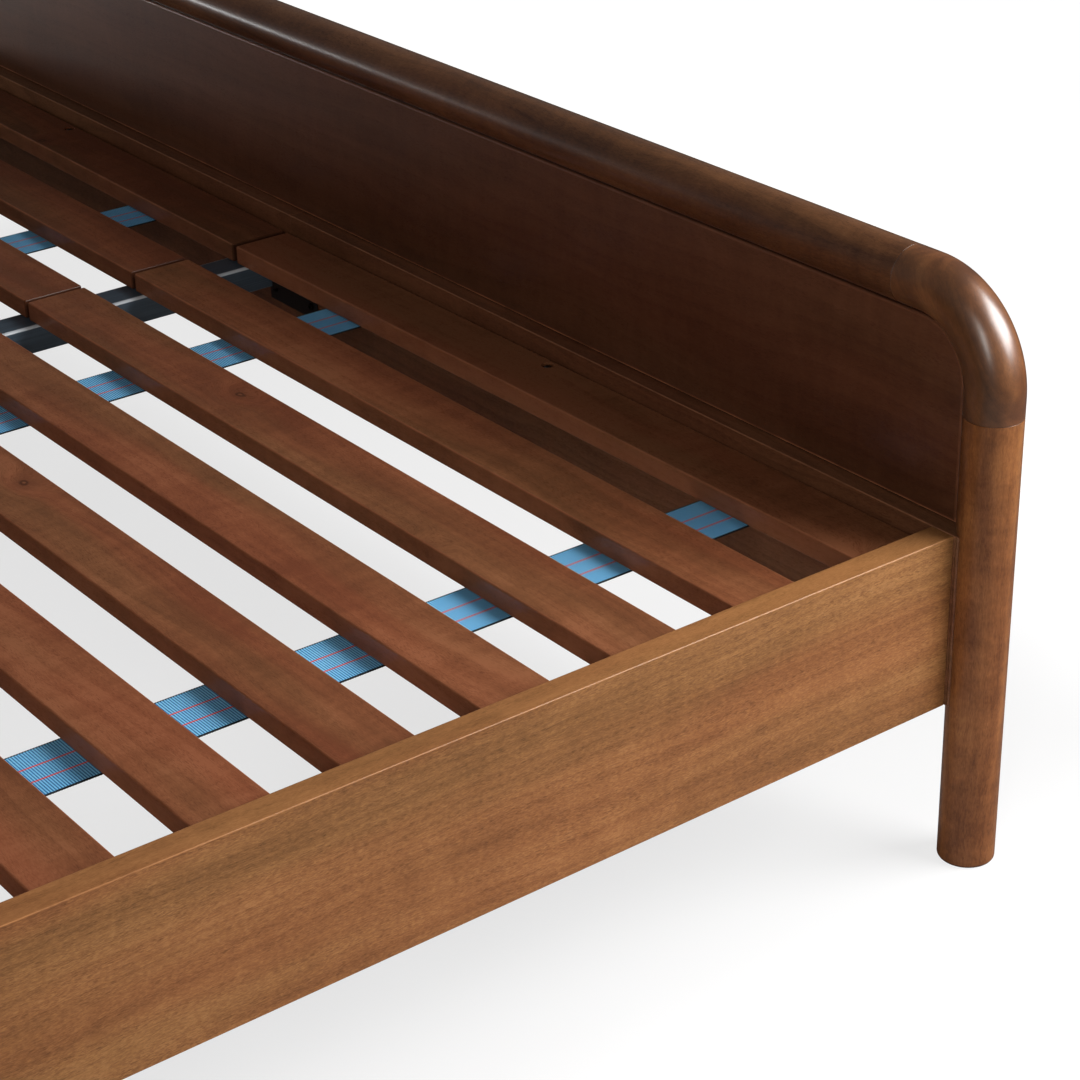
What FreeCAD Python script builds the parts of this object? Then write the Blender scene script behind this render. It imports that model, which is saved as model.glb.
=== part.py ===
import FreeCAD, Part
import math
import os
import Sketcher
from FreeCAD import Placement, Rotation, Vector

# A bed frame of round posts, bent corner pieces and flat panels. The origin is on the floor, at
# the centre of the frame. +Z is up, +Y runs from the foot to the head, and +X is the right side.

DRIVING_SIZES = {
    # the space between the rails
    "clear_width": 1950,
    "clear_length": 2066,
    # the four rails
    "rail_top": 314,
    "rail_height": 160,
    "side_rail_thick": 25,
    "end_rail_thick": 51,
    "end_rail_overhang": 4.7,
    "rail_round": 2.5,
    "edge_round": 1.5,
    "seam_chamfer": 0.5,
    "bead_width": 1.2,
    "bead_inset": 1.8,
    # the round end frames
    "frame_radius": 25,
    "post_clearance": 11.5,
    "post_foot_round": 3,
    "bend_radius": 76,
    "bend_leg": 16,
    "bend_arm": 22,
    "foot_height": 536,
    "head_height": 1060,
    # the panels in their grooves
    "panel_thick": 18,
    "panel_gap": 0.5,
    "panel_round": 2.5,
    "tongue_thick": 14,
    "tongue_depth": 7,
    "groove_depth": 8,
    # slats, ledgers and cleats
    "slat_top": 297,
    "slat_thick": 20,
    "slat_width": 66,
    "slat_round": 1.6,
    "slat_rows": 17,
    "slat_first_pitch": 131.2,
    "slat_centre_gap": 6,
    "slat_side_gap": 2,
    "slat_end_gap": 0.5,
    "slat_skew": 0.35,
    "ledger_depth": 25,
    "ledger_height": 30,
    "cleat_clear": 52,
    # webbing
    "strap_width": 65,
    "strap_thick": 1.2,
    "strap_inner": 205,
    "strap_outer": 792,
    "strap_end": 27,
    # centre support
    "beam_width": 40,
    "beam_height": 30,
    "beam_wall": 2,
    "beam_round": 3,
    "hanger_thick": 2,
    "hanger_width": 94,
    "hanger_height": 72,
    "hanger_depth": 40,
    "leg_radius": 19,
    "leg_wall": 1.5,
    "leg_flange": 64,
    "leg_flange_thick": 3,
    "leg_spacing": 620,
    "glide_height": 12,
    "glide_radius": 20,
    "plug_flange": 2,
    "plug_depth": 18,
    "stud_radius": 3.95,
    "stud_reach": 34,
    # corner brackets
    "bracket_flange": 40,
    "bracket_height": 70,
    "bracket_thick": 3,
    "bracket_low": 165,
}

DOWEL_RADIUS = 6
DOWEL_LENGTH = 60
SCREW_RADIUS = 2.2
SCREW_LENGTH = 35
SCREW_HEAD_RADIUS = 4.2
SCREW_HEAD_HEIGHT = 2.6
SLAT_SCREW_SINK = 3.2
INSERT_RADIUS = 6
INSERT_BORE = 4
INSERT_LENGTH = 18
BOLT_REACH = 19
BOLT_HEAD_RADIUS = 6.6
BOLT_HEAD_HEIGHT = 4.2
BORE_CLEARANCE = 0.06

# Places of the fasteners. Heights are above a piece's lower edge, the others from the middle.
RAIL_DOWEL_HEIGHTS = (40, 120)
RAIL_DOWEL_START = 20
BRACKET_BOLT_HEIGHTS = (17, 53)
BRACKET_BOLT_SHIFT = 2
LEDGER_SCREWS_EACH_WAY = 4
LEDGER_SCREW_PITCH = 245
CLEAT_SCREW_PLACES = (-880, -540, -130, 130, 540, 880)
HANGER_SCREW_PLACES = (-36, 36)
HANGER_SCREW_DROPS = (14, 58)
SLAT_SCREW_PLACE = 475
SLAT_SCREW_INSET = 13.5
LEG_SCREW_ACROSS = (-12, 12)
LEG_SCREW_ALONG = (-25, 25)

# Shares of a fastener head's height
HEAD_ROUND_SHARE = 0.45
SOCKET_DEPTH_SHARE = 0.6

# Small shapes and clearances
INNER_EDGE_SHARE = 0.6
HANGER_CLEARANCE = 0.3
CHEEK_DROP = 4
FLANGE_CORNER_RADIUS = 4
THREAD_PLAY = 0.05
BORE_OVERSHOOT = 10
GLIDE_STEP_SHARE = 0.55
TOUCHING = 0.01

X_AXIS = Vector(1, 0, 0)
Z_AXIS = Vector(0, 0, 1)

os.makedirs("parts", exist_ok=True)
doc = FreeCAD.newDocument("bed_frame")
sheet = doc.addObject("Spreadsheet::Sheet", "sizes")
for row_number, (alias, number) in enumerate(DRIVING_SIZES.items(), start=1):
    sheet.set(f"A{row_number}", alias)
    sheet.set(f"B{row_number}", str(number))
    sheet.setAlias(f"B{row_number}", alias)
doc.recompute()


def size(alias):
    """The number in the cell of that name."""
    return float(sheet.get(alias))


HALF_LENGTH = size("clear_length") / 2
HALF_WIDTH = size("clear_width") / 2
SLAT_UNDERSIDE = size("slat_top") - size("slat_thick")
RAIL_BOTTOM = size("rail_top") - size("rail_height")
POST_X = HALF_WIDTH + size("side_rail_thick") + size("post_clearance")
POST_Y = HALF_LENGTH + size("end_rail_thick") / 2
RAIL_END_X = HALF_WIDTH + size("side_rail_thick") + size("end_rail_overhang")
TOP_RAIL_END = POST_X - size("bend_radius") - size("bend_arm")
BEAM_BOTTOM = SLAT_UNDERSIDE - size("beam_height")

# The same places as expressions, for the objects whose sizes are bound to the sheet.
POST_X_EXPR = "sizes.clear_width / 2 + sizes.side_rail_thick + sizes.post_clearance"
POST_Y_EXPR = "sizes.clear_length / 2 + sizes.end_rail_thick / 2"
SLAT_UNDERSIDE_EXPR = "sizes.slat_top - sizes.slat_thick"

finished = {}


def finish(label, item):
    """Name the object that stands for one sub-part, and list it for export."""
    item.Label = label
    finished[label] = item
    return item


def bind(item, **expressions):
    """Bind properties to the sheet. Two underscores in a name stand for a dot."""
    for name, expression in expressions.items():
        item.setExpression(name.replace("__", "."), expression)


def bound_box(name, length, width, height, x, y, z):
    """A box whose sizes and low corner are expressions."""
    item = doc.addObject("Part::Box", name)
    bind(item, Length=length, Width=width, Height=height)
    bind(item, Placement__Base__x=x, Placement__Base__y=y, Placement__Base__z=z)
    return item


def cut(name, base, tools):
    """The base less every tool."""
    item = doc.addObject("Part::Cut", name)
    item.Base = base
    if len(tools) == 1:
        item.Tool = tools[0]
    else:
        group = doc.addObject("Part::Compound", name + "_tools")
        group.Links = tools
        item.Tool = group
    return item


def rounded(name, base, choose):
    """A Part::Fillet of the base: choose(edge) gives each edge's radius, or 0 for a sharp one."""
    doc.recompute()
    item = doc.addObject("Part::Fillet", name)
    item.Base = base
    edges = []
    for number, edge in enumerate(base.Shape.Edges, start=1):
        radius = choose(edge)
        if radius > 0:
            edges.append((number, radius, radius))
    item.Edges = edges
    return item


def fixed_shape(name, shape, placement=None):
    """A Part::Feature of one given shape, for groups of equal pieces and for their bores."""
    item = doc.addObject("Part::Feature", name)
    item.Shape = shape
    if placement is not None:
        item.Placement = placement
    return item


def origin_plane(body, role):
    """A body's own origin plane."""
    return next(plane for plane in body.Origin.OriginFeatures if plane.Role == role)


def new_sketch(body, name, role):
    """A sketch on one of its own body's origin planes."""
    sketch = body.newObject("Sketcher::SketchObject", name)
    sketch.AttachmentSupport = (origin_plane(body, role), [""])
    sketch.MapMode = "FlatFace"
    return sketch


def circle_sketch(body, name, role, radius_expression):
    """A circle about the origin."""
    sketch = new_sketch(body, name, role)
    sketch.addGeometry(Part.Circle(Vector(0, 0, 0), Z_AXIS, size("frame_radius")), False)
    sketch.addConstraint(Sketcher.Constraint("Coincident", 0, 3, -1, 1))
    radius = sketch.addConstraint(Sketcher.Constraint("Radius", 0, size("frame_radius")))
    sketch.setExpression(f"Constraints[{radius}]", radius_expression)
    return sketch


def outline_sketch(body, name, height, offset, offset_expression, bottom, bottom_expression):
    """The space inside an end frame: a flat base, two upright sides and two round top corners.

    The outline stands a given distance inside the centreline of the posts and the top rail."""
    half = POST_X - offset
    top = height - size("frame_radius") - offset
    radius = size("bend_radius") - offset
    shoulder = top - radius
    sketch = new_sketch(body, name, "XZ_Plane")
    low_left = Vector(-half, bottom, 0)
    low_right = Vector(half, bottom, 0)
    right_centre = Vector(half - radius, shoulder, 0)
    left_centre = Vector(radius - half, shoulder, 0)
    quarter = math.pi / 2
    right_arc = Part.ArcOfCircle(Part.Circle(right_centre, Z_AXIS, radius), 0, quarter)
    left_arc = Part.ArcOfCircle(Part.Circle(left_centre, Z_AXIS, radius), quarter, 2 * quarter)
    top_left = Vector(radius - half, top, 0)
    top_right = Vector(half - radius, top, 0)
    for shape in (
        Part.LineSegment(low_left, low_right),
        Part.LineSegment(low_right, Vector(half, shoulder, 0)),
        right_arc,
        Part.LineSegment(top_right, top_left),
        left_arc,
        Part.LineSegment(Vector(-half, shoulder, 0), low_left),
    ):
        sketch.addGeometry(shape, False)
    for constraint in (
        ("Coincident", 0, 2, 1, 1),
        ("Tangent", 1, 2, 2, 1),
        ("Tangent", 2, 2, 3, 1),
        ("Tangent", 3, 2, 4, 1),
        ("Tangent", 4, 2, 5, 1),
        ("Coincident", 5, 2, 0, 1),
        ("Horizontal", 3),
        ("Vertical", 1),
        ("Vertical", 5),
        ("Symmetric", 0, 1, 0, 2, -2),
        ("Equal", 2, 4),
    ):
        sketch.addConstraint(Sketcher.Constraint(*constraint))
    driven = (
        (("DistanceX", -1, 1, 0, 2, half), f"{POST_X_EXPR} - ({offset_expression})"),
        (("DistanceY", -1, 1, 0, 2, bottom), bottom_expression),
        (("DistanceY", -1, 1, 3, 1, top), f"{height} - sizes.frame_radius - ({offset_expression})"),
        (("Radius", 2, radius), f"sizes.bend_radius - ({offset_expression})"),
    )
    for constraint, expression in driven:
        number = sketch.addConstraint(Sketcher.Constraint(*constraint))
        sketch.setExpression(f"Constraints[{number}]", expression)
    return sketch


def symmetric_pad(body, name, sketch, length_expression):
    """A pad that grows equally both ways from its sketch."""
    pad = body.newObject("PartDesign::Pad", name)
    pad.Profile = sketch
    pad.Midplane = True
    pad.setExpression("Length", length_expression)
    return pad


def cylinder(radius, length, base, direction):
    """A cylinder that starts at base."""
    return Part.makeCylinder(radius, length, base, direction)


# ---------------------------------------------------------------------------------------------
# Fastener places. Each list drives both the fasteners and the bores that take them.

def dowel_places(end, height):
    """Start and direction of each dowel in one end frame. end is -1 at the foot, 1 at the head."""
    y = end * POST_Y
    seam = height - size("frame_radius") - size("bend_radius") - size("bend_leg")
    top = height - size("frame_radius")
    places = []
    for side in (-1, 1):
        for rise in RAIL_DOWEL_HEIGHTS:
            start = Vector(side * (RAIL_END_X + RAIL_DOWEL_START), y, RAIL_BOTTOM + rise)
            places.append((start, Vector(-side, 0, 0)))
        places.append((Vector(side * POST_X, y, seam - DOWEL_LENGTH / 2), Z_AXIS))
        places.append((Vector(side * (TOP_RAIL_END + DOWEL_LENGTH / 2), y, top), Vector(-side, 0, 0)))
    for rise in RAIL_DOWEL_HEIGHTS:
        places.append((Vector(-DOWEL_LENGTH / 2, y, RAIL_BOTTOM + rise), X_AXIS))
    return places


def bracket_bolt_places():
    """Each bolt's place on its bracket's face, and the direction it is driven in."""
    places = []
    inset = size("bracket_flange") / 2 + BRACKET_BOLT_SHIFT
    thick = size("bracket_thick")
    for end in (-1, 1):
        for side in (-1, 1):
            for rise in BRACKET_BOLT_HEIGHTS:
                z = size("bracket_low") + rise
                on_side = Vector(side * (HALF_WIDTH - thick), end * (HALF_LENGTH - inset), z)
                on_end = Vector(side * (HALF_WIDTH - inset), end * (HALF_LENGTH - thick), z)
                places.append((on_side, Vector(side, 0, 0)))
                places.append((on_end, Vector(0, end, 0)))
    return places


def ledger_screw_places():
    """Nine screws through each side ledger."""
    z = SLAT_UNDERSIDE - size("ledger_height") / 2
    face = HALF_WIDTH - size("ledger_depth")
    places = []
    for side in (-1, 1):
        for step in range(-LEDGER_SCREWS_EACH_WAY, LEDGER_SCREWS_EACH_WAY + 1):
            places.append((Vector(side * face, step * LEDGER_SCREW_PITCH, z), Vector(side, 0, 0)))
    return places


def cleat_screw_places():
    """Six screws through each cleat."""
    z = SLAT_UNDERSIDE - size("ledger_height") / 2
    face = HALF_LENGTH - size("ledger_depth")
    places = []
    for end in (-1, 1):
        for x in CLEAT_SCREW_PLACES:
            places.append((Vector(x, end * face, z), Vector(0, end, 0)))
    return places


def hanger_screw_places():
    """Four screws through each beam hanger's back plate."""
    face = HALF_LENGTH - size("hanger_thick")
    places = []
    for end in (-1, 1):
        for x in HANGER_SCREW_PLACES:
            for drop in HANGER_SCREW_DROPS:
                places.append((Vector(x, end * face, SLAT_UNDERSIDE - drop), Vector(0, end, 0)))
    return places


def slat_screw_places():
    """One screw through the middle of each half slat of the first and last rows."""
    y = HALF_LENGTH - SLAT_SCREW_INSET
    z = size("slat_top") - SLAT_SCREW_SINK
    places = []
    for end in (-1, 1):
        for side in (-1, 1):
            places.append((Vector(side * SLAT_SCREW_PLACE, end * y, z), Vector(0, 0, -1)))
    return places


def leg_screw_places():
    """Four screws up through each leg's flange into the beam."""
    z = BEAM_BOTTOM - size("leg_flange_thick")
    places = []
    for step in (-1, 0, 1):
        for x in LEG_SCREW_ACROSS:
            for y in LEG_SCREW_ALONG:
                places.append((Vector(x, step * size("leg_spacing") + y, z), Z_AXIS))
    return places


def headed_fastener(place, direction, shank, reach, head_radius, head_height, drive):
    """A shank with a domed head: the head stands behind the place, the shank goes ahead of it."""
    start = place - direction * head_height
    head = cylinder(head_radius, head_height, start, direction)
    rim = [edge for edge in head.Edges if edge.Closed and (edge.CenterOfMass - start).Length < TOUCHING]
    head = head.makeFillet(head_height * HEAD_ROUND_SHARE, rim)
    socket = cylinder(drive, head_height * SOCKET_DEPTH_SHARE, start, direction)
    return head.cut(socket).fuse(cylinder(shank, reach, place, direction)).removeSplitter()


def bore_group(name, places, radius, reach, behind=0.0):
    """Every bore of one kind as one tool."""
    bores = []
    for place, direction in places:
        bores.append(cylinder(radius + BORE_CLEARANCE, reach, place - direction * behind, direction))
    return fixed_shape(name, Part.makeCompound(bores))


wood_screw_places = ledger_screw_places() + cleat_screw_places() + hanger_screw_places()
screw_bores = bore_group("screw_bores", wood_screw_places, SCREW_RADIUS, SCREW_LENGTH + 1)
slat_screw_bores = bore_group("slat_screw_bores", slat_screw_places(), SCREW_RADIUS, SCREW_LENGTH + 1)
slat_screw_sinks = bore_group(
    "slat_screw_sinks", slat_screw_places(), SCREW_HEAD_RADIUS + 0.8, SLAT_SCREW_SINK + 1, SLAT_SCREW_SINK + 1
)
insert_bores = bore_group(
    "insert_bores", bracket_bolt_places(), INSERT_RADIUS, INSERT_LENGTH + size("bracket_thick") + 1
)
bolt_bores = bore_group("bolt_bores", bracket_bolt_places(), INSERT_BORE, size("bracket_thick"))
leg_screw_bores = bore_group("leg_screw_bores", leg_screw_places(), SCREW_RADIUS, 10)


# ---------------------------------------------------------------------------------------------
# The two end frames.

def build_post(label, side, end, seam_expression, tools):
    """A round post with an eased foot. It is housed for the lower rail and grooved for the panel."""
    body = doc.addObject("PartDesign::Body", label + "_turning")
    sketch = circle_sketch(body, label + "_circle", "XY_Plane", "sizes.frame_radius")
    pad = body.newObject("PartDesign::Pad", label + "_length")
    pad.Profile = sketch
    pad.setExpression("Length", seam_expression)
    doc.recompute()
    eased = body.newObject("PartDesign::Fillet", label + "_foot_round")
    eased.Base = (pad, [edge_name(pad, lambda edge: edge.CenterOfMass.z < 1)])
    eased.setExpression("Radius", "sizes.post_foot_round")
    doc.recompute()
    seam = body.newObject("PartDesign::Chamfer", label + "_seam")
    seam.Base = (eased, [edge_name(eased, lambda edge: edge.Closed and edge.CenterOfMass.z > 50)])
    seam.setExpression("Size", "sizes.seam_chamfer")
    bind(body, Placement__Base__x=f"{side} * ({POST_X_EXPR})", Placement__Base__y=f"{end} * ({POST_Y_EXPR})")
    housing_width = "sizes.end_rail_thick + 4"
    inner = f"({POST_X_EXPR}) - sizes.frame_radius - 2"
    reach = "sizes.frame_radius + 2 - sizes.post_clearance + sizes.end_rail_overhang"
    housing = bound_box(
        label + "_housing", reach, housing_width, "sizes.rail_height",
        inner if side > 0 else f"-({inner}) - ({reach})",
        f"{end} * ({POST_Y_EXPR}) - ({housing_width}) / 2",
        "sizes.rail_top - sizes.rail_height",
    )
    return finish(label, cut(label + "_cut", body, [housing] + tools))


def edge_name(feature, wanted):
    """The name of the one edge that is wanted."""
    for number, edge in enumerate(feature.Shape.Edges, start=1):
        if wanted(edge):
            return f"Edge{number}"
    raise ValueError(feature.Label)


def build_corner(label, side, end, height, height_expression, tools):
    """A bent corner: a short leg on the post, a quarter turn, and a short arm to the top rail."""
    body = doc.addObject("PartDesign::Body", label + "_bend")
    profile = circle_sketch(body, label + "_circle", "XY_Plane", "sizes.frame_radius")
    path = new_sketch(body, label + "_path", "XZ_Plane")
    leg = size("bend_leg")
    bend = size("bend_radius")
    arm = size("bend_arm")
    turn = Part.Circle(Vector(bend, leg, 0), Z_AXIS, bend)
    path.addGeometry(Part.LineSegment(Vector(0, 0, 0), Vector(0, leg, 0)), False)
    path.addGeometry(Part.ArcOfCircle(turn, math.pi / 2, math.pi), False)
    path.addGeometry(Part.LineSegment(Vector(bend, leg + bend, 0), Vector(bend + arm, leg + bend, 0)), False)
    for constraint in (
        ("Coincident", 0, 1, -1, 1),
        ("Vertical", 0),
        ("Tangent", 0, 2, 1, 2),
        ("Tangent", 1, 1, 2, 1),
        ("Horizontal", 2),
    ):
        path.addConstraint(Sketcher.Constraint(*constraint))
    driven = (
        (("DistanceY", 0, 1, 0, 2, leg), "sizes.bend_leg"),
        (("Radius", 1, bend), "sizes.bend_radius"),
        (("DistanceX", 2, 1, 2, 2, arm), "sizes.bend_arm"),
    )
    for constraint, expression in driven:
        number = path.addConstraint(Sketcher.Constraint(*constraint))
        path.setExpression(f"Constraints[{number}]", expression)
    pipe = body.newObject("PartDesign::AdditivePipe", label + "_sweep")
    pipe.Profile = profile
    pipe.Spine = (path, ["Edge1", "Edge2", "Edge3"])
    doc.recompute()
    chamfer = body.newObject("PartDesign::Chamfer", label + "_seams")
    at_post = edge_name(pipe, lambda edge: edge.BoundBox.ZMax < TOUCHING)
    at_rail = edge_name(pipe, lambda edge: edge.BoundBox.XMin > bend + arm - TOUCHING)
    chamfer.Base = (pipe, [at_post, at_rail])
    chamfer.setExpression("Size", "sizes.seam_chamfer")
    seam = f"{height_expression} - sizes.frame_radius - sizes.bend_radius - sizes.bend_leg"
    turned = 0 if side < 0 else 180
    seam_height = height - size("frame_radius") - bend - leg
    body.Placement = Placement(Vector(side * POST_X, end * POST_Y, seam_height), Rotation(Z_AXIS, turned))
    bind(body, Placement__Base__x=f"{side} * ({POST_X_EXPR})", Placement__Base__y=f"{end} * ({POST_Y_EXPR})")
    bind(body, Placement__Base__z=seam)
    return finish(label, cut(label + "_cut", body, tools))


def build_top_rail(label, end, height_expression, tools):
    """A round rail between the corner pieces."""
    body = doc.addObject("PartDesign::Body", label + "_turning")
    sketch = circle_sketch(body, label + "_circle", "YZ_Plane", "sizes.frame_radius")
    span = f"2 * ({POST_X_EXPR} - sizes.bend_radius - sizes.bend_arm)"
    pad = symmetric_pad(body, label + "_length", sketch, span)
    doc.recompute()
    chamfer = body.newObject("PartDesign::Chamfer", label + "_seams")
    at_left = edge_name(pad, lambda edge: edge.Closed and edge.CenterOfMass.x < 0)
    at_right = edge_name(pad, lambda edge: edge.Closed and edge.CenterOfMass.x > 0)
    chamfer.Base = (pad, [at_left, at_right])
    chamfer.setExpression("Size", "sizes.seam_chamfer")
    bind(body, Placement__Base__y=f"{end} * ({POST_Y_EXPR})")
    bind(body, Placement__Base__z=f"{height_expression} - sizes.frame_radius")
    return finish(label, cut(label + "_cut", body, tools))


def build_panel(label, end, height, height_expression):
    """A flat panel with rounded arrises and a thinner tongue all round."""
    body = doc.addObject("PartDesign::Body", label)
    face_offset = size("frame_radius") + size("panel_gap")
    face = outline_sketch(
        body, label + "_face_outline", height, face_offset, "sizes.frame_radius + sizes.panel_gap",
        size("rail_top") + size("panel_gap"), "sizes.rail_top + sizes.panel_gap",
    )
    bind_height(face, height_expression, "sizes.frame_radius + sizes.panel_gap")
    pad = symmetric_pad(body, label + "_board", face, "sizes.panel_thick")
    doc.recompute()
    flat_faces = []
    for number, side_face in enumerate(pad.Shape.Faces, start=1):
        if abs(abs(side_face.CenterOfMass.y) - size("panel_thick") / 2) < TOUCHING:
            flat_faces.append(f"Face{number}")
    arris = body.newObject("PartDesign::Fillet", label + "_arris")
    arris.Base = (pad, flat_faces)
    arris.setExpression("Radius", "sizes.panel_round")
    doc.recompute()
    tongue = outline_sketch(
        body, label + "_tongue_outline", height, size("frame_radius") - size("tongue_depth"),
        "sizes.frame_radius - sizes.tongue_depth",
        size("rail_top") - size("tongue_depth"), "sizes.rail_top - sizes.tongue_depth",
    )
    bind_height(tongue, height_expression, "sizes.frame_radius - sizes.tongue_depth")
    symmetric_pad(body, label + "_tongue", tongue, "sizes.tongue_thick")
    bind(body, Placement__Base__y=f"{end} * ({POST_Y_EXPR})")
    return finish(label, body)


def bind_height(sketch, height_expression, offset_expression):
    """Bind an outline's top edge to the frame's height, which is its last but one dimension."""
    number = sketch.ConstraintCount - 2
    height = f"{height_expression} - sizes.frame_radius - ({offset_expression})"
    sketch.setExpression(f"Constraints[{number}]", height)


def build_panel_groove(name, end, height, height_expression):
    """The tool that cuts one panel's groove into all the pieces round it."""
    body = doc.addObject("PartDesign::Body", name)
    offset_expression = "sizes.frame_radius - sizes.groove_depth"
    outline = outline_sketch(
        body, name + "_outline", height, size("frame_radius") - size("groove_depth"), offset_expression,
        size("rail_top") - size("groove_depth"), "sizes.rail_top - sizes.groove_depth",
    )
    bind_height(outline, height_expression, offset_expression)
    symmetric_pad(body, name + "_slot", outline, "sizes.tongue_thick")
    bind(body, Placement__Base__y=f"{end} * ({POST_Y_EXPR})")
    return body


def build_lower_rail(label, side, end, tools):
    """Half of an end's lower rail, with a fine bead beside its outer end."""
    length = "sizes.clear_width / 2 + sizes.side_rail_thick + sizes.end_rail_overhang"
    start_y = "sizes.clear_length / 2"
    bar = bound_box(
        label + "_bar", length, "sizes.end_rail_thick", "sizes.rail_height",
        "0" if side > 0 else f"-({length})",
        start_y if end > 0 else f"-({start_y}) - sizes.end_rail_thick",
        "sizes.rail_top - sizes.rail_height",
    )
    eased = rounded(label + "_eased", bar, lambda edge: size("edge_round"))
    bead_start = "sizes.clear_width / 2 + sizes.side_rail_thick + sizes.end_rail_overhang - sizes.bead_inset"
    bead = bound_box(
        label + "_bead", "sizes.bead_width", "sizes.bead_width", "sizes.rail_height",
        f"({bead_start}) - sizes.bead_width" if side > 0 else f"-({bead_start})",
        start_y if end > 0 else f"-({start_y}) - sizes.bead_width",
        "sizes.rail_top - sizes.rail_height",
    )
    return finish(label, cut(label + "_cut", eased, [bead] + tools))


def build_end_frame(word, end, height_alias):
    """Everything in one end frame."""
    height = size(height_alias)
    height_expression = f"sizes.{height_alias}"
    groove = build_panel_groove(word + "_groove", end, height, height_expression)
    dowel_bores = bore_group(word + "_dowel_bores", dowel_places(end, height), DOWEL_RADIUS, DOWEL_LENGTH)
    joinery = [groove, dowel_bores]
    seam = f"{height_expression} - sizes.frame_radius - sizes.bend_radius - sizes.bend_leg"
    for side, side_word in ((-1, "left"), (1, "right")):
        build_post(f"{word}_post_{side_word}", side, end, seam, joinery)
        build_corner(f"{word}_corner_{side_word}", side, end, height, height_expression, joinery)
        rail_tools = joinery + [insert_bores, screw_bores]
        build_lower_rail(f"{word}_lower_rail_{side_word}", side, end, rail_tools)
    build_top_rail(word + "_top_rail", end, height_expression, joinery)
    build_panel(word + "_panel", end, height, height_expression)


build_end_frame("foot", -1, "foot_height")
build_end_frame("head", 1, "head_height")


# ---------------------------------------------------------------------------------------------
# Side rails, ledgers and cleats.

def build_side_rail(label, side):
    """A side rail with a softer outer top edge."""
    start = "sizes.clear_width / 2"
    bar = bound_box(
        label + "_bar", "sizes.side_rail_thick", "sizes.clear_length", "sizes.rail_height",
        start if side > 0 else f"-({start}) - sizes.side_rail_thick",
        "-sizes.clear_length / 2", "sizes.rail_top - sizes.rail_height",
    )
    outer = HALF_WIDTH + size("side_rail_thick")

    def radius(edge):
        centre = edge.CenterOfMass
        on_top = abs(centre.z - size("rail_top")) < TOUCHING
        on_outside = abs(abs(centre.x) - outer) < TOUCHING
        return size("rail_round") if on_top and on_outside else size("edge_round") * INNER_EDGE_SHARE

    eased = rounded(label + "_eased", bar, radius)
    return finish(label, cut(label + "_cut", eased, [insert_bores, screw_bores]))


def build_ledger(label, side):
    """The strip inside a side rail that the slats' ends rest on."""
    inner = "sizes.clear_width / 2 - sizes.ledger_depth"
    bar = bound_box(
        label + "_bar", "sizes.ledger_depth", "sizes.clear_length - 2 * sizes.slat_end_gap",
        "sizes.ledger_height", inner if side > 0 else "-sizes.clear_width / 2",
        "-sizes.clear_length / 2 + sizes.slat_end_gap", f"{SLAT_UNDERSIDE_EXPR} - sizes.ledger_height",
    )
    eased = rounded(label + "_eased", bar, lambda edge: size("edge_round"))
    return finish(label, cut(label + "_cut", eased, [screw_bores]))


def build_cleat(label, end):
    """The two strips inside a lower rail, one each side of the beam, that carry the end slats."""
    start = "sizes.clear_length / 2 - sizes.ledger_depth"
    length = "sizes.clear_width / 2 - sizes.ledger_depth - sizes.slat_side_gap - sizes.cleat_clear"
    halves = []
    for side in (-1, 1):
        bar = bound_box(
            f"{label}_bar_{side + 1}", length, "sizes.ledger_depth", "sizes.ledger_height",
            "sizes.cleat_clear" if side > 0 else f"-sizes.cleat_clear - ({length})",
            start if end > 0 else "-sizes.clear_length / 2",
            f"{SLAT_UNDERSIDE_EXPR} - sizes.ledger_height",
        )
        eased = rounded(f"{label}_eased_{side + 1}", bar, lambda edge: size("edge_round"))
        halves.append(cut(f"{label}_cut_{side + 1}", eased, [screw_bores, slat_screw_bores]))
    pair = doc.addObject("Part::Compound", label)
    pair.Links = halves
    return finish(label, pair)


for side, side_word in ((-1, "left"), (1, "right")):
    build_side_rail("side_rail_" + side_word, side)
    build_ledger("slat_ledger_" + side_word, side)
build_cleat("foot_slat_cleat", -1)
build_cleat("head_slat_cleat", 1)


# ---------------------------------------------------------------------------------------------
# Slats and their webbing.

def slat_start(row):
    """The foot-side edge of a row of slats, measured from the foot's lower rail. Rows count from 0."""
    if row == 0:
        return "sizes.slat_end_gap"
    pitch = (
        "(sizes.clear_length - sizes.slat_first_pitch - sizes.slat_width - sizes.slat_end_gap)"
        " / (sizes.slat_rows - 2)"
    )
    return f"sizes.slat_first_pitch + {row - 1} * {pitch}"


def build_slat_row(row):
    """Two half slats that meet over the beam. The first row sits slightly out of square."""
    label = f"slat_row_{row + 1:02d}"
    length = "sizes.clear_width / 2 - sizes.slat_side_gap - sizes.slat_centre_gap / 2"
    start_y = f"-sizes.clear_length / 2 + {slat_start(row)}"
    holed = row in (0, int(size("slat_rows")) - 1)
    halves = []
    for side in (-1, 1):
        bar = bound_box(
            f"{label}_bar_{side + 1}", length, "sizes.slat_width", "sizes.slat_thick",
            "sizes.slat_centre_gap / 2" if side > 0 else f"-sizes.slat_centre_gap / 2 - ({length})",
            start_y, SLAT_UNDERSIDE_EXPR,
        )
        half = rounded(f"{label}_eased_{side + 1}", bar, lambda edge: size("slat_round"))
        if row == 0:
            pivot_x = side * (HALF_WIDTH - size("slat_side_gap"))
            pivot = Vector(pivot_x, -HALF_LENGTH + size("slat_end_gap"), 0)
            half.Placement = Placement(Vector(0, 0, 0), Rotation(Z_AXIS, -side * size("slat_skew")), pivot)
        if holed:
            half = cut(f"{label}_holed_{side + 1}", half, [slat_screw_bores, slat_screw_sinks])
        halves.append(half)
    pair = doc.addObject("Part::Compound", label)
    pair.Links = halves
    return finish(label, pair)


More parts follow.
